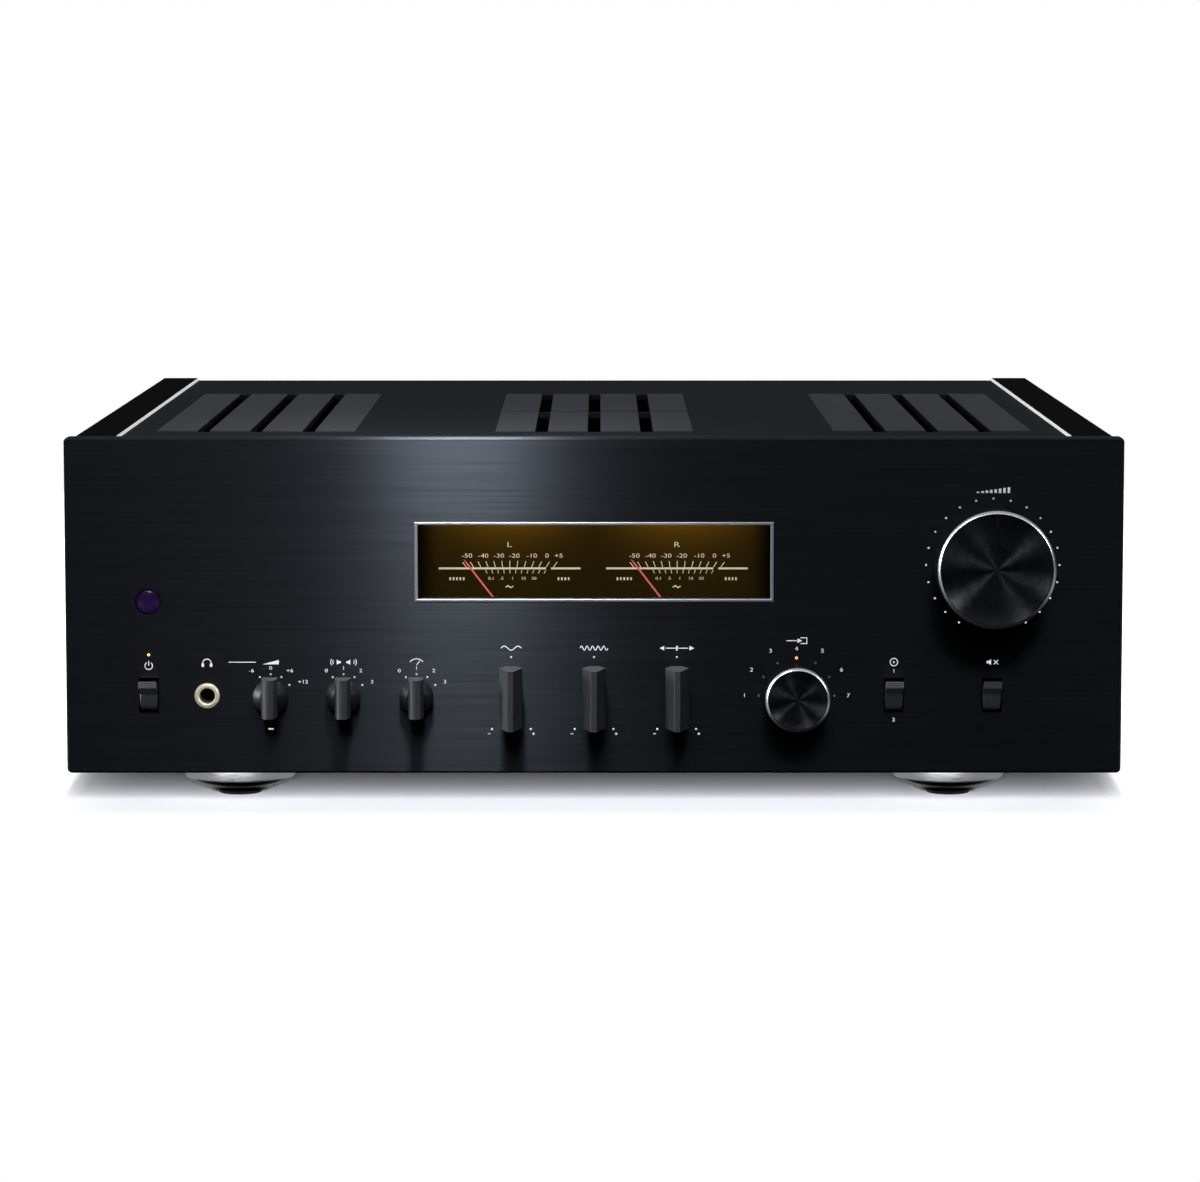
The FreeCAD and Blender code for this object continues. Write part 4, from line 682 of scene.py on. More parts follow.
# %% Levers
LEVER_TILT = math.radians(22)
PIVOT_DEPTH = 5.5
PADDLE = 14.5
PADDLE_HALF = 3.6
SIDEWAYS = Matrix(((0, 0, 1, 0), (0, 1, 0, 0), (1, 0, 0, 0), (0, 0, 0, 1)))  # heights run along X
for name in ("power_lever", "phono_lever", "mute_lever"):
    low, high = corners(name)
    half = PADDLE_HALF
    shape = bmesh.new()
    slab(shape, [(PADDLE - 0.2, -1.4), (PADDLE - 0.2, 1.4), (1.0, 2.1), (1.0, -2.1)],
         -half, half, where=SIDEWAYS)
    soften(shape, 0.3)
    turned(shape, [(0, -half), (6.5, -half), (6.8, -half + 0.3), (6.8, half - 0.3),
                   (6.5, half), (0, half)], 64, where=SIDEWAYS)
    for rib in (-0.9, 0.0, 0.9):
        slab(shape, [(PADDLE - 0.3, rib - 0.22), (PADDLE - 0.3, rib + 0.22),
                     (PADDLE, rib + 0.1), (PADDLE, rib - 0.1)],
             -half + 0.5, half - 0.5, where=SIDEWAYS)
    lean = Matrix.Translation((0, 0, -PIVOT_DEPTH)) @ Matrix.Rotation(-LEVER_TILT, 4, "X")
    piece(name + "_paddle", shape, on_front((low.x + high.x) / 2, ROW) @ lean, satin_black, name,
          [name], lit_with=[for_knobs, for_bars])

# %% [markdown]
# ## Jack ring, sensor and lamps
# The headphone socket has a gilt ring with a rounded front edge. The remote sensor sits behind a
# domed lens of dark violet acrylic that only infrared light passes. The lamps are 1.2 mm light
# rods: the power lamp and the lamp of the input in use glow amber, and the others are dark.

# %% Jack ring
pale_gilt = finish(
    "pale_gold_plated_ring", "DAD2BC", 0.8, 0.5, (2, 0.3, 2), 0.002, ("D0C8B0", "E4DCC8"),
    (0.44, 0.54))
jack = middle("headphone_jack_ring")
shape = bmesh.new()
turned(shape, [(3.25, -12.0), (3.25, 0.75), (3.5, 1.05), (3.75, 1.2), (4.4, 1.2), (4.7, 1.05),
               (5.2, 0.3), (5.2, 0.02), (4.3, 0.02), (4.3, -12.0)], 96, closed=True)
piece("jack_ring", shape, on_front(jack.x, jack.z), pale_gilt,
      stands_for=["headphone_jack_ring"], lit_with=[for_rounds])

# %% Infrared lens
# Painted glow: a faint violet emission lights the lens from within, where there is no lamp
violet = finish(
    "infrared_pass_acrylic_with_painted_glow", "2A0F45", 0.0, 0.12, (3, 3, 3), 0.01, ("150626", "1C0A30"), IOR=1.49,
    Coat_Weight=0.6, Coat_Roughness=0.05, Emission_Color=linear("6A1F90"),
    Emission_Strength=0.006)
lens = middle("remote_sensor_lens")
shape = bmesh.new()
crown = [(0, -0.42)] + [(r, -0.42 - 1.1 * (r / 5.25) ** 2) for r in (1.3, 2.6, 3.9, 4.9)]
turned(shape, crown + [(5.25, -1.7), (5.25, -9.5), (0, -9.5)], 64)
piece("infrared_lens", shape, on_front(lens.x, lens.z), violet,
      stands_for=["remote_sensor_lens"])

# %% Light rods
POWER_X, LAMP_Z, LAMP_CIRCLE = -183.4, 67.3, 15.6
input_at = middle("input_knob")
amber = finish(
    "lit_amber_light_rod", "F2B56A", 0.0, 0.3, (1, 1, 1), 0.002, ("EDAE62", "F7BE78"),
    Emission_Color=linear("FFC27A"), Emission_Strength=0.9)
dark_rod = finish(
    "unlit_light_rod", "50545A", 0.0, 0.3, (1, 1, 1), 0.002, ("4A4E54", "585C62"), IOR=1.49)
ROD = [(0, 0.02), (0.35, 0.0), (0.55, -0.2), (0.55, -7.5), (0, -7.5)]
lamps_on, lamps_off = bmesh.new(), bmesh.new()
turned(lamps_on, ROD, 20, where=Matrix.Translation((POWER_X, LAMP_Z, 0)))
for turn in range(-90, 91, 30):
    spot = Vector((LAMP_CIRCLE * math.sin(math.radians(turn)),
                   LAMP_CIRCLE * math.cos(math.radians(turn)), 0))
    target = lamps_on if turn == 0 else lamps_off
    turned(target, ROD, 20, where=Matrix.Translation(spot + Vector((input_at.x, ROW, 0))))
METER_STEP = 34.6  # from the middle of the window to the middle of each scale
LAMP_STEP, LAMP_HALF, LAMP_LOW, LAMP_HIGH = 9.0, 2.5, 123.05, 124.65
for side in (-METER_STEP, METER_STEP):
    for step in (-LAMP_STEP, LAMP_STEP):
        x = side + step
        block(lamps_on, x - LAMP_HALF, LAMP_LOW, x + LAMP_HALF, LAMP_HIGH, -11.8, -9.4)
piece("lit_lamps", lamps_on, on_front(0, 0), amber, stands_for=["lamps"])
piece("dark_lamps", lamps_off, on_front(0, 0), dark_rod)

# %% [markdown]
# ## Printed marks
# The signs on the faceplate are screen print, a film of light grey ink. Flat outlines with a
# thickness of 0.04 mm stand for it: a stroke is a band of even width with mitred corners. No
# words are needed, so each control gets a plain sign or number that tells what it does.

# %% Ink and strokes
INK = 0.04
# Painted glow: the ink gives off a little light of its own, so the print stays light whatever the
# lamps do
ink = finish(
    "light_grey_screen_ink_with_painted_glow", "C4C6C8", 0.0, 0.6, (0.4, 0.4, 0.4), 0.004, ("BCBEC0", "CCCED0"),
    Emission_Color=linear("C4C6C8"), Emission_Strength=0.10)


def stroke(shape, points, width=0.34, closed=False, low=0.0, high=INK):
    """Adds a band of even width through the points, with mitred corners."""
    spots = [Vector(p) for p in points]
    count = len(spots)
    rings = []
    for i, spot in enumerate(spots):
        back = spots[i - 1] if closed or i else None
        ahead = spots[(i + 1) % count] if closed or i < count - 1 else None
        into = (spot - back if back is not None else ahead - spot).normalized()
        out = (ahead - spot if ahead is not None else into).normalized()
        mitre = Vector((-(into + out).y, (into + out).x)).normalized()
        reach = width / 2 / max(mitre.dot(Vector((-into.y, into.x))), 0.4)
        left, right = spot + mitre * reach, spot - mitre * reach
        rings.append([shape.verts.new((p.x, p.y, h))
                      for p, h in ((left, low), (right, low), (right, high), (left, high))])
    for a, b in list(zip(rings, rings[1:])) + ([(rings[-1], rings[0])] if closed else []):
        for k in range(4):
            shape.faces.new([a[k], a[(k + 1) % 4], b[(k + 1) % 4], b[k]])
    if not closed:
        shape.faces.new(rings[0])
        shape.faces.new(rings[-1][::-1])


def arc(x, y, radius, first, last, steps=16):
    """Points on an arc. Angles are in degrees, clockwise from straight up."""
    turns = [math.radians(first + (last - first) * i / steps) for i in range(steps + 1)]
    return [(x + radius * math.sin(t), y + radius * math.cos(t)) for t in turns]


def dot(shape, x, y, radius):
    """Adds a small printed disc."""
    slab(shape, arc(x, y, radius, 0, -330, 11), 0, INK)


def minus_or_plus(shape, x, y, half, width, plus):
    """Adds a minus, or a plus whose upright lies on top of its bar."""
    stroke(shape, [(x - half, y), (x + half, y)], width)
    if plus:
        stroke(shape, [(x, y - half), (x, y + half)], width, low=INK, high=2 * INK)


def figures(shape, text, x, y, size, stretch=1.2):
    """Adds plain figures from the built-in typeface, made a mesh before they are placed."""
    letters = bpy.data.curves.new("figures", "FONT")
    letters.body, letters.size, letters.extrude = text, size, INK / 2
    letters.align_x, letters.align_y, letters.resolution_u = "CENTER", "CENTER", 3
    holder = bpy.data.objects.new("figures", letters)
    scene.collection.objects.link(holder)
    ready = holder.evaluated_get(bpy.context.evaluated_depsgraph_get())
    mesh = bpy.data.meshes.new_from_object(ready)
    place = Matrix.Translation((x, y, INK / 2))
    mesh.transform(place @ Matrix.Diagonal((stretch, 1, 1, 1)))
    shape.from_mesh(mesh)
    bpy.data.objects.remove(holder)
    bpy.data.curves.remove(letters)
    bpy.data.meshes.remove(mesh)


# %% Signs for the controls
print_shape = bmesh.new()
TITLE_Z = 64.3
TONE_TITLE = 70.1


def speaker_sign(x, y, scale=1.0, mirror=1):
    """A loudspeaker seen from the side: a box with a horn."""
    outline = [(-1.6, -0.5), (-0.8, -0.5), (0.2, -1.2), (0.2, 1.2), (-0.8, 0.5), (-1.6, 0.5)]
    spots = [(x + px * scale * mirror, y + py * scale) for px, py in outline]
    slab(print_shape, spots if mirror > 0 else spots[::-1], 0, INK)


def wave(x, y, width, turns, swing):
    """A sine wave drawn as one stroke."""
    count = int(turns * 14)
    stroke(print_shape, [(x - width / 2 + width * i / count,
                          y + swing * math.sin(math.tau * turns * i / count))
                         for i in range(count + 1)], 0.36)


def arrow(x, y, width, sign):
    """A small triangle that points left or right."""
    spots = [(x, y - width / 2), (x + sign * width, y), (x, y + width / 2)]
    slab(print_shape, spots if sign > 0 else spots[::-1], 0, INK)


VOLUME_TITLE, INPUT_TITLE = 134.2, 73.2
for i in range(8):  # volume: a rising row of bars
    x, tall = volume_at.x - 6.3 + i * 1.8, 0.5 + i * 0.26
    block(print_shape, x - 0.5, VOLUME_TITLE, x + 0.5, VOLUME_TITLE + tall, 0, INK)
wave(middle("bass_knob").x, TONE_TITLE, 8.4, 1.5, 0.85)
wave(middle("treble_knob").x, TONE_TITLE, 11.4, 5, 0.85)
x = middle("balance_knob").x
stroke(print_shape, [(x - 4.6, TONE_TITLE), (x + 4.6, TONE_TITLE)])
arrow(x - 5.2, TONE_TITLE, 1.9, -1)
arrow(x + 5.2, TONE_TITLE, 1.9, 1)
block(print_shape, x - 0.35, TONE_TITLE - 1, x + 0.35, TONE_TITLE + 1, INK, 2 * INK)
x, z = input_at.x, INPUT_TITLE
stroke(print_shape, [(x - 4.2, z), (x + 0.6, z)])
arrow(x + 0.4, z, 1.9, 1)
stroke(print_shape, [(x + 1.6, z + 1.2), (x + 4.2, z + 1.2), (x + 4.2, z - 1.2),
                     (x + 1.6, z - 1.2)])
stroke(print_shape, arc(jack.x, TITLE_Z - 0.4, 1.7, -100, 100, 20), 0.36)
for sign in (-1, 1):
    x = jack.x + sign * 1.7
    block(print_shape, x - 0.5, TITLE_Z - 1.9, x + 0.5, TITLE_Z - 0.5, 0, INK)
stroke(print_shape, [(-150.5, TITLE_Z), (-139.2, TITLE_Z)], 0.3)
x = middle("trim_knob").x
slab(print_shape, [(x - 3.4, TITLE_Z - 0.9), (x + 3.4, TITLE_Z - 0.9), (x + 3.4, TITLE_Z + 0.9)],
     0, INK)
x = middle("speakers_knob").x
for sign in (-1, 1):
    speaker_sign(x + sign * 2.6, TITLE_Z, 0.9, sign)
    for radius in (1.2, 2.1):
        stroke(print_shape, arc(x + sign * 3.2, TITLE_Z, radius, sign * 52, sign * 128, 8), 0.3)
x = middle("meter_knob").x
stroke(print_shape, arc(x, TITLE_Z - 2.0, 3.4, -52, 52, 16), 0.34)
stroke(print_shape, [(x, TITLE_Z - 1.2), (x + 1.3, TITLE_Z + 0.5)], 0.34)
x = middle("phono_lever").x
stroke(print_shape, arc(x, TITLE_Z, 1.55, 0, 345, 23), 0.36, closed=True)
dot(print_shape, x, TITLE_Z, 0.42)
figures(print_shape, "1", x, 60.6, 2.2)
figures(print_shape, "2", x, 40.4, 2.2)
x = middle("mute_lever").x
speaker_sign(x - 0.6, TITLE_Z, 1.0)
stroke(print_shape, [(x + 0.7, TITLE_Z - 0.9), (x + 2.5, TITLE_Z + 0.9)])
stroke(print_shape, [(x + 0.7, TITLE_Z + 0.9), (x + 2.5, TITLE_Z - 0.9)], low=INK, high=2 * INK)
stroke(print_shape, arc(POWER_X, 62.8, 1.55, 35, 325, 24), 0.36)
stroke(print_shape, [(POWER_X, 62.9), (POWER_X, 64.8)], 0.36)

# %% Numbers at the stops
SELECTOR_TURNS = (-30, 0, 30, 60)
labels = {"trim_knob": ("-6", "0", "+6", "+12"), "speakers_knob": "0123", "meter_knob": "0123"}
for name, words in labels.items():
    x = middle(name).x
    for turn, word in zip(SELECTOR_TURNS, words):
        circle, drop = (12.6, 0.6) if turn else (11.6, 0.2)
        spot = arc(x, ROW, circle, turn, turn, 1)[0]
        shift = 0.8 * math.copysign(len(word), turn) if turn else 0
        figures(print_shape, word, spot[0] + shift, spot[1] - drop, 2.1, 1.3)
for name in TONE_KNOBS:
    for turn, sign in ((-150, -1), (150, 1)):
        x, y = arc(middle(name).x, ROW, 18.3, turn, turn, 1)[0]
        minus_or_plus(print_shape, x, y, 0.55, 0.3, sign > 0)
for i, turn in enumerate(range(-90, 91, 30)):
    x, y = arc(input_at.x, ROW, 21.4 if turn else 19.4, turn, turn, 1)[0]
    figures(print_shape, str(i + 1), x, y, 2.3, 1.3)
x = middle("trim_knob").x
stroke(print_shape, [(x - 1.1, 36.6), (x + 1.1, 36.6)], 0.5)
piece("faceplate_print", print_shape, on_front(0, 0), ink, smooth=0)

# %% [markdown]
# ## Rings of dots by Geometry Nodes
# Each control is surrounded by dots at an even step. A ring is a rule, so a node tree makes it:
# points are set on a circle from their index, a small disc is put on each, and the tree ends with
# real geometry and a material. The same tree serves every ring with other inputs.

# %% Node tree helpers
MODES = {"int": "NodeSocketInt", "float": "NodeSocketFloat", "material": "NodeSocketMaterial",
         "object": "NodeSocketObject", "geometry": "NodeSocketGeometry"}


def new_tree(name, **inputs):
    """A geometry tree with named inputs. Returns the tree and its input sockets."""
    tree = bpy.data.node_groups.new(name, "GeometryNodeTree")
    tree.interface.new_socket("Geometry", in_out="OUTPUT", socket_type="NodeSocketGeometry")
    for key, kind in inputs.items():
        tree.interface.new_socket(key, in_out="INPUT", socket_type=MODES[kind])
    return tree, tree.nodes.new("NodeGroupInput").outputs


def copies_on(tree, points, shape, material, **settings):
    """Ends a tree: copies of a shape on points, made real geometry, and its material."""
    copies = add(tree, "GeometryNodeInstanceOnPoints", {
        "Points": points, "Instance": shape, **settings})
    real = add(tree, "GeometryNodeRealizeInstances", {0: copies})
    done = add(tree, "GeometryNodeSetMaterial", {"Geometry": real, "Material": material})
    add(tree, "NodeGroupOutput", {0: done})


def row_of_copies(tree, given, place, shape, **settings):
    """Ends a tree with Count copies, each at a place that follows from its index."""
    points = add(tree, "GeometryNodePoints", {"Count": given["Count"], "Position": place})
    copies_on(tree, points, shape, given["Material"], **settings)


def on_circle(tree, turn, radius, across, up):
    """A place on a circle: the wave that gives its X, and the wave that gives its Y."""
    spot = {}
    for axis, wave_kind in (("X", across), ("Y", up)):
        share = add(tree, MATH, {0: turn}, operation=wave_kind)
        spot[axis] = add(tree, MATH, {0: share, 1: radius}, operation="MULTIPLY")
    return add(tree, JOIN, spot)


def grown(tree, values, spots=()):
    """Runs a tree on some points with its inputs set by identifier, and gives back its mesh."""
    seed = bpy.data.objects.new("seed", bpy.data.meshes.new("seed"))
    seed.data.from_pydata([tuple(spot) for spot in spots], [], [])
    scene.collection.objects.link(seed)
    modifier = seed.modifiers.new("grow", "NODES")
    modifier.node_group = tree
    sockets = {s.name: s.identifier for s in tree.interface.items_tree
               if s.item_type == "SOCKET" and s.in_out == "INPUT"}
    for key, value in values.items():
        modifier[sockets[key]] = value
    ready = seed.evaluated_get(bpy.context.evaluated_depsgraph_get())
    mesh = bpy.data.meshes.new_from_object(ready)
    bpy.data.objects.remove(seed)
    mesh.materials.clear()  # a tree may leave an empty slot before the one it sets
    mesh.materials.append(values["Material"])
    for face in mesh.polygons:
        face.material_index = 0
    return mesh


def from_tree(name, parts, where, body="chassis", stands_for=(), smooth=30,
              lit_with=()):
    """A piece from tree meshes: parts are pairs of a mesh and its matrix in the piece's space."""
    shape = bmesh.new()
    materials = []
    for mesh, place in parts:
        for used in mesh.materials:
            if used not in materials:
                materials.append(used)
        mesh.transform(place)
        shape.from_mesh(mesh)
    return piece(name, shape, where, materials, body, stands_for, smooth, lit_with)


# %% The ring tree
ring_tree, given = new_tree("ring_of_dots", Count="int", Circle="float", Dot="float",
                            First="float", Step="float", Material="material")
index = add(ring_tree, "GeometryNodeInputIndex")
turn = add(ring_tree, MATH, {0: index, 1: given["Step"], 2: given["First"]},
           operation="MULTIPLY_ADD")
disc = add(ring_tree, "GeometryNodeMeshCylinder", {
    "Vertices": 12, "Radius": given["Dot"], "Depth": INK})
row_of_copies(ring_tree, given, on_circle(ring_tree, turn, given["Circle"], "SINE", "COSINE"),
              disc)


def ring(x, z, count, circle, first, step, size):
    """A ring of printed dots round a control, and its place on the faceplate."""
    mesh = grown(ring_tree, {"Count": count, "Circle": circle, "Dot": size,
                             "First": math.radians(first), "Step": math.radians(step),
                             "Material": ink})
    return mesh, Matrix.Translation((x, z, INK / 2))


# %% Rings round the controls
rings = [ring(volume_at.x, volume_at.z, 21, 27.4, -150, 15, 0.42)]
for name in SELECTORS:
    rings.append(ring(middle(name).x, ROW, 4, 8.9, SELECTOR_TURNS[0], 30, 0.4))
for name in TONE_KNOBS:
    rings.append(ring(middle(name).x, ROW, 3, 16.0, -150, 150, 0.42))
from_tree("control_dots", rings, on_front(0, 0), smooth=0)

# %% [markdown]
# ## The meters
# Behind the window a dark brown card carries two scales in cream print, lit from above by four
# small lamps. The card glows softly where the lamps reach it. That light is drawn in the card's
# own material, with a falloff below each pair of lamps and towards both ends, because light
# through glass is slow to render and the card would look black.

# %% The dial card
GLOW_X, GLOW_WIDE, GLOW_Z, GLOW_TALL = 35.6, 27, 120.5, 8  # middle and size of each pool of light
CARD_DARK, CARD_SHADE, CARD_LIT = "060400", "1F1704", "5A3E0C"
card, tree, shader = plain_finish("brown_printed_card", "0A0804", 0.0, 0.9, Specular_IOR_Level=0.0)
spot = add(tree, "ShaderNodeTexCoord").outputs["Object"]
x, y, z = add(tree, SPLIT, {0: spot}).outputs
side = add(tree, MATH, {0: x}, operation="ABSOLUTE")
across = add(tree, MATH, {0: side, 1: GLOW_X * MM}, operation="SUBTRACT")
across = add(tree, MATH, {0: across, 1: GLOW_WIDE * MM}, operation="DIVIDE")
across = add(tree, MATH, {0: across, 1: across}, operation="MULTIPLY")
down = add(tree, MATH, {0: GLOW_Z * MM, 1: z}, operation="SUBTRACT")
down = add(tree, MATH, {0: down, 1: GLOW_TALL * MM}, operation="DIVIDE")
down = add(tree, MATH, {0: down, 1: 0.0}, operation="MAXIMUM")
fall = add(tree, MATH, {0: across, 1: down}, operation="ADD")
fall = add(tree, MATH, {0: fall, 1: -1.0}, operation="MULTIPLY")
glow = add(tree, MATH, {0: fall}, operation="EXPONENT")
ends = add(tree, RANGE, {"Value": side, "From Min": 73 * MM, "From Max": 63 * MM},
           interpolation_type="SMOOTHSTEP")
warm = add(tree, MIX, {0: glow, 6: linear(CARD_SHADE), 7: linear(CARD_LIT)}, data_type="RGBA")
lit = add(tree, MIX, {0: ends, 6: linear(CARD_DARK), 7: warm.outputs[2]}, data_type="RGBA")
tree.links.new(lit.outputs[2], shader.inputs["Emission Color"])
shader.inputs["Emission Strength"].default_value = 1.0
dress(card, "meter_dial")

# %% Scale print
# Painted lamp light: the cream print and the red needles glow on their own, standing for the meter
# lamps' light on them
cream = finish(
    "cream_screen_ink_with_painted_lamp_light", "E6DCC0", 0.0, 0.6, (0.4, 0.4, 0.4), 0.004, ("DCD2B6", "F0E6CA"),
    Emission_Color=linear("D9CFB2"), Emission_Strength=0.65)
needle_lacquer_and_painted_light = finish(
    "red_lacquered_needle_with_painted_lamp_light", "C8483E", 0.0, 0.4, (1, 1, 8), 0.002, ("BC4038", "D45248"),
    Emission_Color=linear("D8685C"), Emission_Strength=0.75)
dress(needle_lacquer_and_painted_light, "needle_left", "needle_right")
LINE_Z = 101.9
CARD = FRONT - corners("meter_dial")[0].y
scale_shape = bmesh.new()
for side, letter in ((-METER_STEP, "L"), (METER_STEP, "R")):
    stroke(scale_shape, [(side - 29.6, LINE_Z), (side + 14.7, LINE_Z)], 0.8)
    stroke(scale_shape, [(side + 16.8, LINE_Z), (side + 29.0, LINE_Z)], 0.8)
    for x, word in ((-17.9, "-50"), (-11.2, "-40"), (-4.7, "-30"), (1.7, "-20"), (8.9, "-10"),
                    (15.2, "0"), (20.0, "+5")):
        figures(scale_shape, word, side + x, 107.1, 2.5, 1.35)
    for x, word in ((-7.9, "0.1"), (-3.5, ".5"), (0.9, "1"), (5.4, "10"), (9.8, "50")):
        figures(scale_shape, word, side + x, 97.7, 1.7, 1.25)
    figures(scale_shape, letter, side - 0.4, 111.7, 3.0, 1.5)
    for middle_x, steps in ((-22.1, 5), (22.0, 4)):  # a short row of bars for the level
        for i in range(steps):
            x = side + middle_x + (i - (steps - 1) / 2) * 1.4
            stroke(scale_shape, [(x, 97.0), (x, 98.2)], 0.7)
    stroke(scale_shape, [(side - 2.0, 94.1), (side - 0.9, 94.7), (side + 0.1, 93.9),
                         (side + 1.2, 94.5)], 0.5)
piece("scale_print", scale_shape, on_front(0, 0, CARD), cream, smooth=0)

# %% [markdown]
# The fine ticks all point at the needle's pivot, which is a rule again: a row of points is set
# along the line, and each tick turns with the arc tangent of its distance from the pivot.

# %% Ticks that point at the pivot
tick_tree, given = new_tree("ticks_to_pivot", Count="int", First="float", Step="float",
                            Pivot="float", Length="float", Width="float", Material="material")
index = add(tick_tree, "GeometryNodeInputIndex")
along = add(tick_tree, MATH, {0: index, 1: given["Step"], 2: given["First"]},
            operation="MULTIPLY_ADD")
lean = add(tick_tree, MATH, {0: along, 1: given["Pivot"]}, operation="ARCTAN2")
lean = add(tick_tree, MATH, {0: -1.0, 1: lean}, operation="MULTIPLY")
size = add(tick_tree, JOIN, {"X": given["Width"], "Y": given["Length"], "Z": INK})
tick = add(tick_tree, "GeometryNodeMeshCube", {"Size": size})
half = add(tick_tree, MATH, {0: given["Length"], 1: 0.5}, operation="MULTIPLY")
lifted = add(tick_tree, "GeometryNodeTransform", {
    "Geometry": tick, "Translation": add(tick_tree, JOIN, {"Y": half})})
row_of_copies(tick_tree, given, add(tick_tree, JOIN, {"X": along}), lifted,
              Rotation=add(tick_tree, JOIN, {"Z": lean}))

TICK_ROWS = (  # height over the line, count, first, step, pivot, length, width
    (0.5, 13, -18.2, 3.0, 24.0, 2.6, 0.3), (-2.1, 11, -9.6, 2.35, 22.0, 1.6, 0.25))
TICK_SOCKETS = ("Count", "First", "Step", "Pivot", "Length", "Width", "Material")
ticks = []
for side in (-METER_STEP, METER_STEP):
    for over, *values in TICK_ROWS:
        mesh = grown(tick_tree, dict(zip(TICK_SOCKETS, values + [cream])))
        ticks.append((mesh, Matrix.Translation((side, LINE_Z + over, INK / 2))))
from_tree("scale_ticks", ticks, on_front(0, 0, CARD), smooth=0)

# %% Window glass
glass = finish(
    "clear_float_glass", "FFFFFF", 0.0, 0.0, (200, 200, 200), 0.0, ("FBFDFC", "FFFFFF"), IOR=1.5,
    Transmission_Weight=1.0)
dress(glass, "meter_glass")

# %% [markdown]
# ## Painted highlights on the side bevels
# Along the inner top edge of each lacquered side lies a slim bright band. It is a painted
# highlight with a faint glow, standing for the light that the polished bevel mirrors. It lies on
# the bevel of the side panel, as a thin prism with four corners.

# %% Painted bevel highlights
# Painted highlight: a pale colour and a faint glow of its own, in place of the bevel's reflection
painted_bevel_highlight = finish(
    "painted_highlight_on_lacquer_bevel", "F0F1F2", 1.0, 0.45, (0.6, 40, 0.6), 0.002, ("E4E6E8", "F6F7F8"),
    (0.4, 0.5), Emission_Color=linear("FFFFFF"), Emission_Strength=0.30)
side_low, side_high = corners("side_panel_right")
STRIP, BEVEL_IN, STRIP_INSET = 0.12, 1.3, 0.2
shape = bmesh.new()
ALONG = Matrix(((1, 0, 0, 0), (0, 0, 1, 0), (0, 1, 0, 0), (0, 0, 0, 1)))  # heights run along Y
inner, top = side_low.x, side_high.z
low, high = inner + STRIP_INSET, inner + BEVEL_IN - STRIP_INSET
foot, head = top - BEVEL_IN + STRIP_INSET, top - STRIP_INSET
section = [(low, foot), (high, head), (high - STRIP, head + STRIP), (low - STRIP, foot + STRIP)]
for sign in (-1, 1):
    slab(shape, [(sign * x, z) for x, z in section], panel_high.y + 0.2, side_high.y - 0.5,
         where=ALONG)
piece("side_edge_strips", shape, UPRIGHT, painted_bevel_highlight, smooth=0)

# %% [markdown]
# ## Vent grilles
# The lid's vents are columns of slits. Each column carries slats of satin black sheet between its
# slits, so it looks a little lighter than the lid. One slat repeated along a line is work for a
# node tree, with the number, pitch and sizes as inputs.

# %% Slats by Geometry Nodes
slat_tree, given = new_tree("row_of_slats", Count="int", Pitch="float", Length="float",
                            Width="float", Thick="float", Material="material")
index = add(slat_tree, "GeometryNodeInputIndex")
along = add(slat_tree, MATH, {0: index, 1: given["Pitch"]}, operation="MULTIPLY")
size = add(slat_tree, JOIN, {"X": given["Length"], "Y": given["Width"], "Z": given["Thick"]})
slat = add(slat_tree, "GeometryNodeMeshCube", {"Size": size})
row_of_copies(slat_tree, given, add(slat_tree, JOIN, {"Y": along}), slat)
slat_finish = finish(
    "satin_black_grille_sheet", "2A2D32", 0.0, 0.6, (0.8, 0.8, 0.8), 0.01, ("25282D", "303338"),
    (0.54, 0.66), IOR=1.5)
SLIT_PITCH, SLAT_LENGTH, SLAT_WIDTH, SLAT_THICK = 6.0, 16.6, 3.4, 0.5
slat_z = corners("top_cover")[1].z + 0.26
slats = []
for start, count, columns in ((-150.5, 41, (-176.0, -153.8, -131.6, -109.4)),
                              (-150.5, 41, (109.4, 131.6, 153.8, 176.0)),
                              (-150.0, 20, (-33.3, -11.1, 11.1, 33.3)),
                              (-25.0, 20, (-33.3, -11.1, 11.1, 33.3))):
    for x in columns:
        mesh = grown(slat_tree, {
            "Count": count, "Pitch": SLIT_PITCH, "Length": SLAT_LENGTH, "Width": SLAT_WIDTH,
            "Thick": SLAT_THICK, "Material": slat_finish})
        slats.append((mesh, Matrix.Translation((x, start, slat_z))))
from_tree("vent_grilles", slats, UPRIGHT, smooth=0, lit_with=[for_lid])

# %% [markdown]
# ## Speaker terminals
# Each binding post has a gilt cap that is turned with the fingers, inside a ribbed nylon grip:
# red for plus and black for minus. Core and grip are lathe shapes. A node tree sets the ribs
# round the grip, and the same tree serves the smaller ground nut.

# %% The rib tree
rib_tree, given = new_tree("ribs_round_a_grip", Count="int", Radius="float", Length="float",
                           Width="float", Height="float", Material="material")
index = add(rib_tree, "GeometryNodeInputIndex")
turn = add(rib_tree, MATH, {0: index, 1: math.tau}, operation="MULTIPLY")
turn = add(rib_tree, MATH, {0: turn, 1: given["Count"]}, operation="DIVIDE")
rib = add(rib_tree, "GeometryNodeMeshCone", {
    "Vertices": 4, "Radius Top": given["Height"], "Radius Bottom": given["Height"],
    "Depth": given["Length"]}, fill_type="NGON")
row_of_copies(rib_tree, given, on_circle(rib_tree, turn, given["Radius"], "COSINE", "SINE"), rib,
              Rotation=add(rib_tree, JOIN, {"Z": turn}),
              Scale=add(rib_tree, JOIN, {"X": 1.0, "Y": given["Width"], "Z": 1.0}))

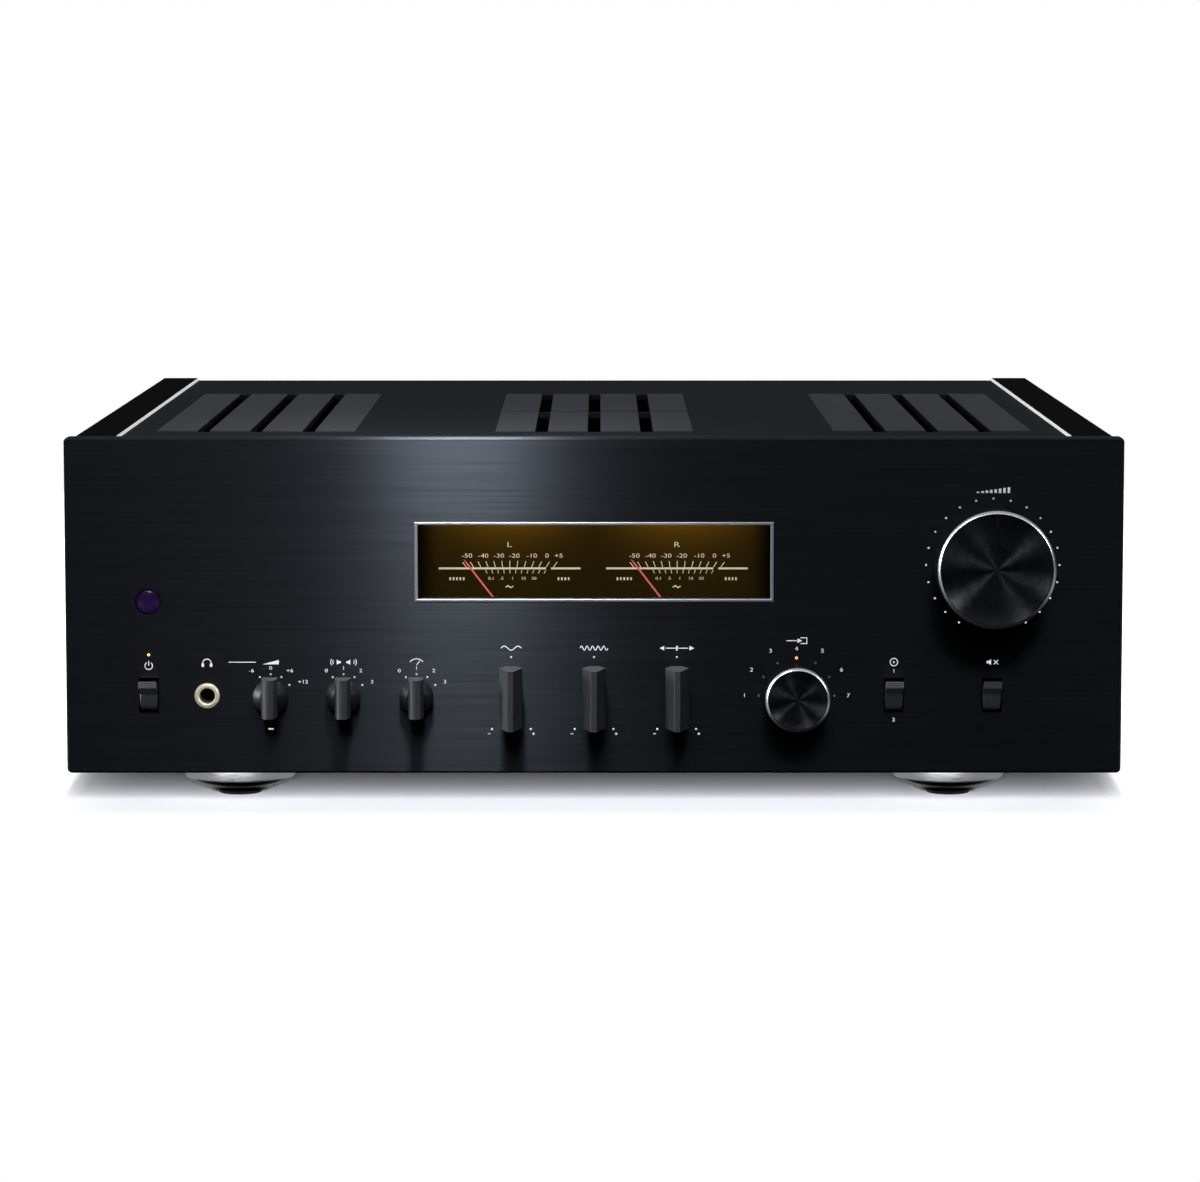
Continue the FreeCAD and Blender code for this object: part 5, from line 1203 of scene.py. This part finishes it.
# %% Coloured nylon
red_ring = finish(
    "moulded_red_nylon", "A81E1A", 0.0, 0.4, (0.6, 0.6, 0.6), 0.006, ("9C1A17", "B42520"),
    (0.36, 0.46), IOR=1.53)
white_ring = finish(
    "moulded_white_nylon", "D8D8D4", 0.0, 0.4, (0.6, 0.6, 0.6), 0.006, ("D0D0CC", "E0E0DC"),
    (0.36, 0.46), IOR=1.53)

# %% Caps and ground nut
CAP_START, CAP_REACH, CAP_BORE = 3.4, 26.0, 4.2
CAP_WAIST, CAP_GRIP, RIB_HEIGHT = 7.0, 8.6, 0.4


def ribs(count, radius, low, high, paint=0):
    """A mesh of ribs round the Z axis, between two heights."""
    mesh = grown(rib_tree, {"Count": count, "Radius": radius, "Length": high - low,
                            "Width": 1.6, "Height": RIB_HEIGHT, "Material": gilt})
    mesh.transform(Matrix.Translation((0, 0, low)))
    for face in mesh.polygons:
        face.material_index = paint
    return mesh


cap_names = sorted(name for name in nodes if name.startswith("terminal_cap_"))
for name in cap_names:
    centre = middle(name)
    shape = bmesh.new()
    turned(shape, [(CAP_BORE, CAP_START), (CAP_WAIST, CAP_START), (CAP_WAIST, CAP_REACH - 0.4),
                   (6.6, CAP_REACH), (5.4, CAP_REACH), (5.0, CAP_REACH - 0.3),
                   (CAP_BORE, CAP_REACH - 0.3)], 64, closed=True)
    turned(shape, [(CAP_WAIST - 0.1, CAP_START + 4.0), (CAP_WAIST + 0.4, CAP_START + 4.0),
                   (CAP_GRIP, CAP_START + 5.2), (CAP_GRIP, CAP_REACH - 1.7),
                   (8.0, CAP_REACH - 0.8), (CAP_WAIST - 0.1, CAP_REACH - 0.8)],
           64, paint=1, closed=True)
    shape.from_mesh(ribs(36, CAP_GRIP - 0.05, CAP_START + 5.6, CAP_REACH - 2.0, paint=1))
    piece(name + "_ribbed", shape, on_back(centre.x, centre.z),
          [gilt, red_ring if name.endswith("plus") else plastic], name, [name])
ground = middle("ground_nut")
shape = bmesh.new()
turned(shape, [(2.2, 0.35), (4.0, 0.35), (5.1, 1.9), (5.1, 6.4), (4.6, 7.0), (2.2, 7.0)], 48,
       closed=True)
shape.from_mesh(ribs(24, 5.05, 2.2, 6.2))
piece("ground_nut_ribbed", shape, on_back(ground.x, ground.z), [nickel], "ground_nut",
      ["ground_nut"])

# %% [markdown]
# ## Screws and socket inserts
# The screws have cross recesses, cut in a node tree by a Mesh Boolean, and the finished head is
# then copied onto points. The points are read from the CAD screws: the corners of each head's
# flat end are gathered, and the middle of their box is the middle of the head.

# %% Copies on points


def copies_tree(name, cross):
    """A tree that copies an object onto the points it is given, with a cross recess if asked."""
    tree, given = new_tree(name, Points="geometry", Piece="object", Slot="float", Depth="float",
                           Top="float", Material="material")
    shape = add(tree, "GeometryNodeObjectInfo", {"Object": given["Piece"]}).outputs["Geometry"]
    if cross:
        long = add(tree, MATH, {0: given["Slot"], 1: 4.4}, operation="MULTIPLY")
        deep = add(tree, MATH, {0: given["Depth"], 1: 2.0}, operation="MULTIPLY")
        raised = add(tree, JOIN, {"Z": given["Top"]})
        for x, y in ((long, given["Slot"]), (given["Slot"], long)):
            size = add(tree, JOIN, {"X": x, "Y": y, "Z": deep})
            bar = add(tree, "GeometryNodeMeshCube", {"Size": size})
            slot = add(tree, "GeometryNodeTransform", {"Geometry": bar, "Translation": raised})
            shape = add(tree, "GeometryNodeMeshBoolean", {"Mesh 1": shape, "Mesh 2": slot},
                        operation="DIFFERENCE")
    copies_on(tree, given["Points"], shape, given["Material"])
    return tree


screw_tree = copies_tree("cross_head_screws", True)
plain_tree = copies_tree("copies_on_points", False)


def pattern(profile, steps=24, closed=False):
    """A hidden object with a lathe shape, for a tree to copy."""
    shape = bmesh.new()
    turned(shape, profile, steps, closed=closed)
    bmesh.ops.recalc_face_normals(shape, faces=shape.faces)
    mesh = bpy.data.meshes.new("pattern")
    shape.to_mesh(mesh)
    shape.free()
    return bpy.data.objects.new("pattern", mesh)


def copied(tree, shape, spots, material, slot=0.0, depth=0.0, top=0.0):
    """The mesh of a shape copied onto spots. The pattern object goes once it is used."""
    mesh = grown(tree, {"Piece": shape, "Slot": slot, "Depth": depth, "Top": top,
                        "Material": material}, spots)
    bpy.data.objects.remove(shape)
    return mesh


# %% Screw heads
HEAD, HEAD_TOP = 2.95, 2.5


def head_middles(reach, axis):
    """Middles of the CAD screw heads whose flat ends lie at a reach along an axis."""
    groups = []
    for vertex in nodes["chassis_screws"].data.vertices:
        spot = vertex.co / MM
        if abs(spot[axis] - reach) > 0.05:
            continue
        near = [g for g in groups if (g[0] - spot).length < 6.0]
        if near:
            near[0].append(spot.copy())
        else:
            groups.append([spot.copy()])
    return [sum(((max(p[k] for p in g) + min(p[k] for p in g)) / 2 * Vector(
        [k == n for n in range(3)]) for k in range(3)), Vector()) for g in groups]


def screw_heads(spots, scale=1.0):
    """The mesh of cross-head screws on spots."""
    profile = [(0, 0.02), (HEAD, 0.02), (HEAD, 1.8), (2.6, 2.2), (1.6, 2.45), (0, HEAD_TOP)]
    shape = pattern([(r * scale, h * scale) for r, h in profile], 24)
    return copied(screw_tree, shape, spots, zinc, 0.75 * scale, 1.0 * scale, HEAD_TOP * scale)


rear_heads = head_middles(REAR + 1.8, 1)
base_heads = head_middles(corners("base_plate")[0].z - 1.8, 2)
print(len(rear_heads), "screws in the back,", len(base_heads), "in the floor")
from_tree("rear_screw_heads", [(screw_heads([(-s.x, s.z, 0) for s in rear_heads]), Matrix())],
          on_back(0, 0))
BELOW = Matrix.Scale(MM, 4) @ Matrix(((1, 0, 0, 0), (0, -1, 0, 0),
                                      (0, 0, -1, corners("base_plate")[0].z), (0, 0, 0, 1)))
from_tree("floor_screw_heads", [(screw_heads([(s.x, -s.y, 0) for s in base_heads]), Matrix())],
          BELOW)

# %% Phono inserts
COLUMN_PITCH, ROW_HIGH, ROW_LOW, FIRST_COLUMN = 22.0, 132.2, 111.2, 160.5
tip = corners("phono_sockets")[1].y - REAR
insert = [(1.75, tip - 0.6), (3.15, tip - 0.6), (3.15, tip + 0.12), (2.9, tip + 0.25),
          (1.95, tip + 0.25), (1.75, tip + 0.1)]
for name, z, colour in (("left", ROW_HIGH, white_ring), ("right", ROW_LOW, red_ring)):
    spots = [(-(FIRST_COLUMN - COLUMN_PITCH * i), z, 0) for i in range(8)]
    mesh = copied(plain_tree, pattern(insert, 32, closed=True), spots, colour)
    from_tree("phono_inserts_" + name, [(mesh, Matrix())], on_back(0, 0))

# %% Balanced sockets: contacts, latches and screws
BALANCED_X = (-41.5, -75.5, -109.5, -143.5)
low, high = corners("balanced_sockets")
BALANCED_Z = (low.z + high.z) / 2
contacts = [(-x + 4 * math.cos(math.radians(a)), BALANCED_Z + 4 * math.sin(math.radians(a)), 0)
            for x in BALANCED_X for a in (90, 210, 330)]
tube = [(0.75, -6.5), (1.25, -6.5), (1.25, 1.8), (1.05, 1.95), (0.75, 1.8)]
mesh = copied(plain_tree, pattern(tube, 20, closed=True), contacts, gilt)
from_tree("balanced_contacts", [(mesh, Matrix())], on_back(0, 0))
latches = bmesh.new()
for x in BALANCED_X:
    slab(latches, [(-x - 3.4, BALANCED_Z + 11.9), (-x + 3.4, BALANCED_Z + 11.9),
                   (-x + 2.9, BALANCED_Z + 14.8), (-x - 2.9, BALANCED_Z + 14.8)], 2.02, 3.4)
soften(latches, 0.3)
piece("balanced_latches", latches, on_back(0, 0), nickel)
flange_screws = [(-x + side * 10.2, BALANCED_Z - side * 12.6, 2.0)
                 for x in BALANCED_X for side in (-1, 1)]
from_tree("balanced_screw_heads", [(screw_heads(flange_screws, 0.62), Matrix())], on_back(0, 0))

# %% Blades of the mains inlet
inlet_at = middle("mains_inlet")
BLADE_HALF, BLADE_TALL = 1.03, 2.03
blades = bmesh.new()
for x, z in ((-7, -1.6), (0, 2.4), (7, -1.6)):
    x, z = x - inlet_at.x, inlet_at.z + z
    block(blades, x - BLADE_HALF, z - BLADE_TALL, x + BLADE_HALF, z + BLADE_TALL, -14.4, -2.9)
soften(blades, 0.25)
piece("inlet_blades", blades, on_back(0, 0), nickel)

# %% [markdown]
# ## Print on the back
# The back carries the plainest marks that make it usable: numbers for the inputs, L and R, plus
# and minus, A and B, an earth sign and a wave for mains. Thin frames gather what belongs
# together.

# %% Back print
back_print = bmesh.new()
TERMINAL_TITLE, SIDE_TITLE, PHONO_TITLE, BALANCED_TITLE = 62.0, 70.5, 121.9, 102.4


def frame_line(low_x, high_x, low_z, high_z):
    """A thin printed frame, with its corners cut."""
    cut = 2.0
    stroke(back_print, [(-high_x + cut, low_z), (-low_x - cut, low_z), (-low_x, low_z + cut),
                        (-low_x, high_z - cut), (-low_x - cut, high_z), (-high_x + cut, high_z),
                        (-high_x, high_z - cut), (-high_x, low_z + cut)], 0.35, closed=True)


for i in range(8):
    figures(back_print, str(i + 1), -(FIRST_COLUMN - COLUMN_PITCH * i), PHONO_TITLE, 4.2, 1.1)
for letter, z in (("L", ROW_HIGH), ("R", ROW_LOW)):
    figures(back_print, letter, -171.2, z, 3.6, 1.1)
for i, x in enumerate(BALANCED_X):
    figures(back_print, str(i + 1), -x, BALANCED_TITLE, 4.2, 1.1)
for name in cap_names:
    minus_or_plus(back_print, -middle(name).x, TERMINAL_TITLE, 1.5, 0.5, name.endswith("plus"))
for side in ("left", "right"):
    for pair in ("a", "b"):
        x = sum(middle(f"terminal_cap_{side}_{pair}_{sign}").x for sign in ("plus", "minus")) / 2
        figures(back_print, pair.upper(), -x, TERMINAL_TITLE, 4.2, 1.1)
    x = sum(middle(name).x for name in cap_names if f"_{side}_" in name) / 4
    figures(back_print, side[0].upper(), -x, SIDE_TITLE, 5.0, 1.1)
    frame_line(x - 64.5, x + 64.5, 32.4, 76.0)
frame_line(-0.7, 174.4, 101.5, 141.0)
frame_line(-160.5, -24.5, 98.2, 140.6)
for i, half in enumerate((2.4, 1.6, 0.8)):
    stroke(back_print, [(-ground.x - half, 112.4 - i * 1.1), (-ground.x + half, 112.4 - i * 1.1)],
           0.4)
stroke(back_print, [(-ground.x, 112.6), (-ground.x, 115.0)], 0.4)
stroke(back_print, [(-inlet_at.x - 4 + 8 * i / 24, 61.5 + 1.3 * math.sin(math.tau * i / 24))
                    for i in range(25)], 0.5)
piece("back_print", back_print, on_back(0, 0), ink, smooth=0)

# %% [markdown]
# ## Feet
# Each foot is turned from steel: a broad rim in satin chrome over a black chromed cone. The cone's
# colour is darkened further, as painted shade for the shadow under the foot.

# %% Feet
foot_chrome = finish(
    "satin_chrome_plate", "D6D7DA", 1.0, 0.3, (6, 6, 0.6), 0.002, ("CFD0D3", "DDDEE0"),
    (0.26, 0.34))
# Partly painted shade: black chrome, made darker still to stand for the shade beneath the foot
cone_black_and_painted_shade = finish(
    "black_chromed_steel_and_painted_shade", "1B1C20", 1.0, 0.2, (6, 6, 0.6), 0.002, ("15161A", "222327"),
    (0.14, 0.26))
rims, cones = bmesh.new(), bmesh.new()
FOOT_X, FOOT_FRONT, FOOT_BACK = 151.4, -139.0, 143.5
for x, y in [(sign * FOOT_X, y) for sign in (-1, 1) for y in (FOOT_FRONT, FOOT_BACK)]:
    spot = Matrix.Translation((x, y, 0))
    turned(rims, [(3.2, 18.2), (20.0, 18.2), (20.0, 16.6), (22.6, 16.0), (23.2, 15.7),
                  (23.5, 15.2), (23.5, 7.9), (23.3, 7.4), (22.7, 7.0), (3.2, 7.0)],
           128, where=spot, closed=True)
    turned(cones, [(22.3, 6.98), (21.9, 6.6), (16.6, 4.2), (15.4, 3.9), (13.2, 2.4), (12.4, 1.85),
                   (5.4, 1.85), (5.4, 6.98)], 128, where=spot, closed=True)
piece("foot_rims", rims, UPRIGHT, foot_chrome, stands_for=["foot_discs"],
      lit_with=[for_feet])
piece("foot_cones", cones, UPRIGHT, cone_black_and_painted_shade)
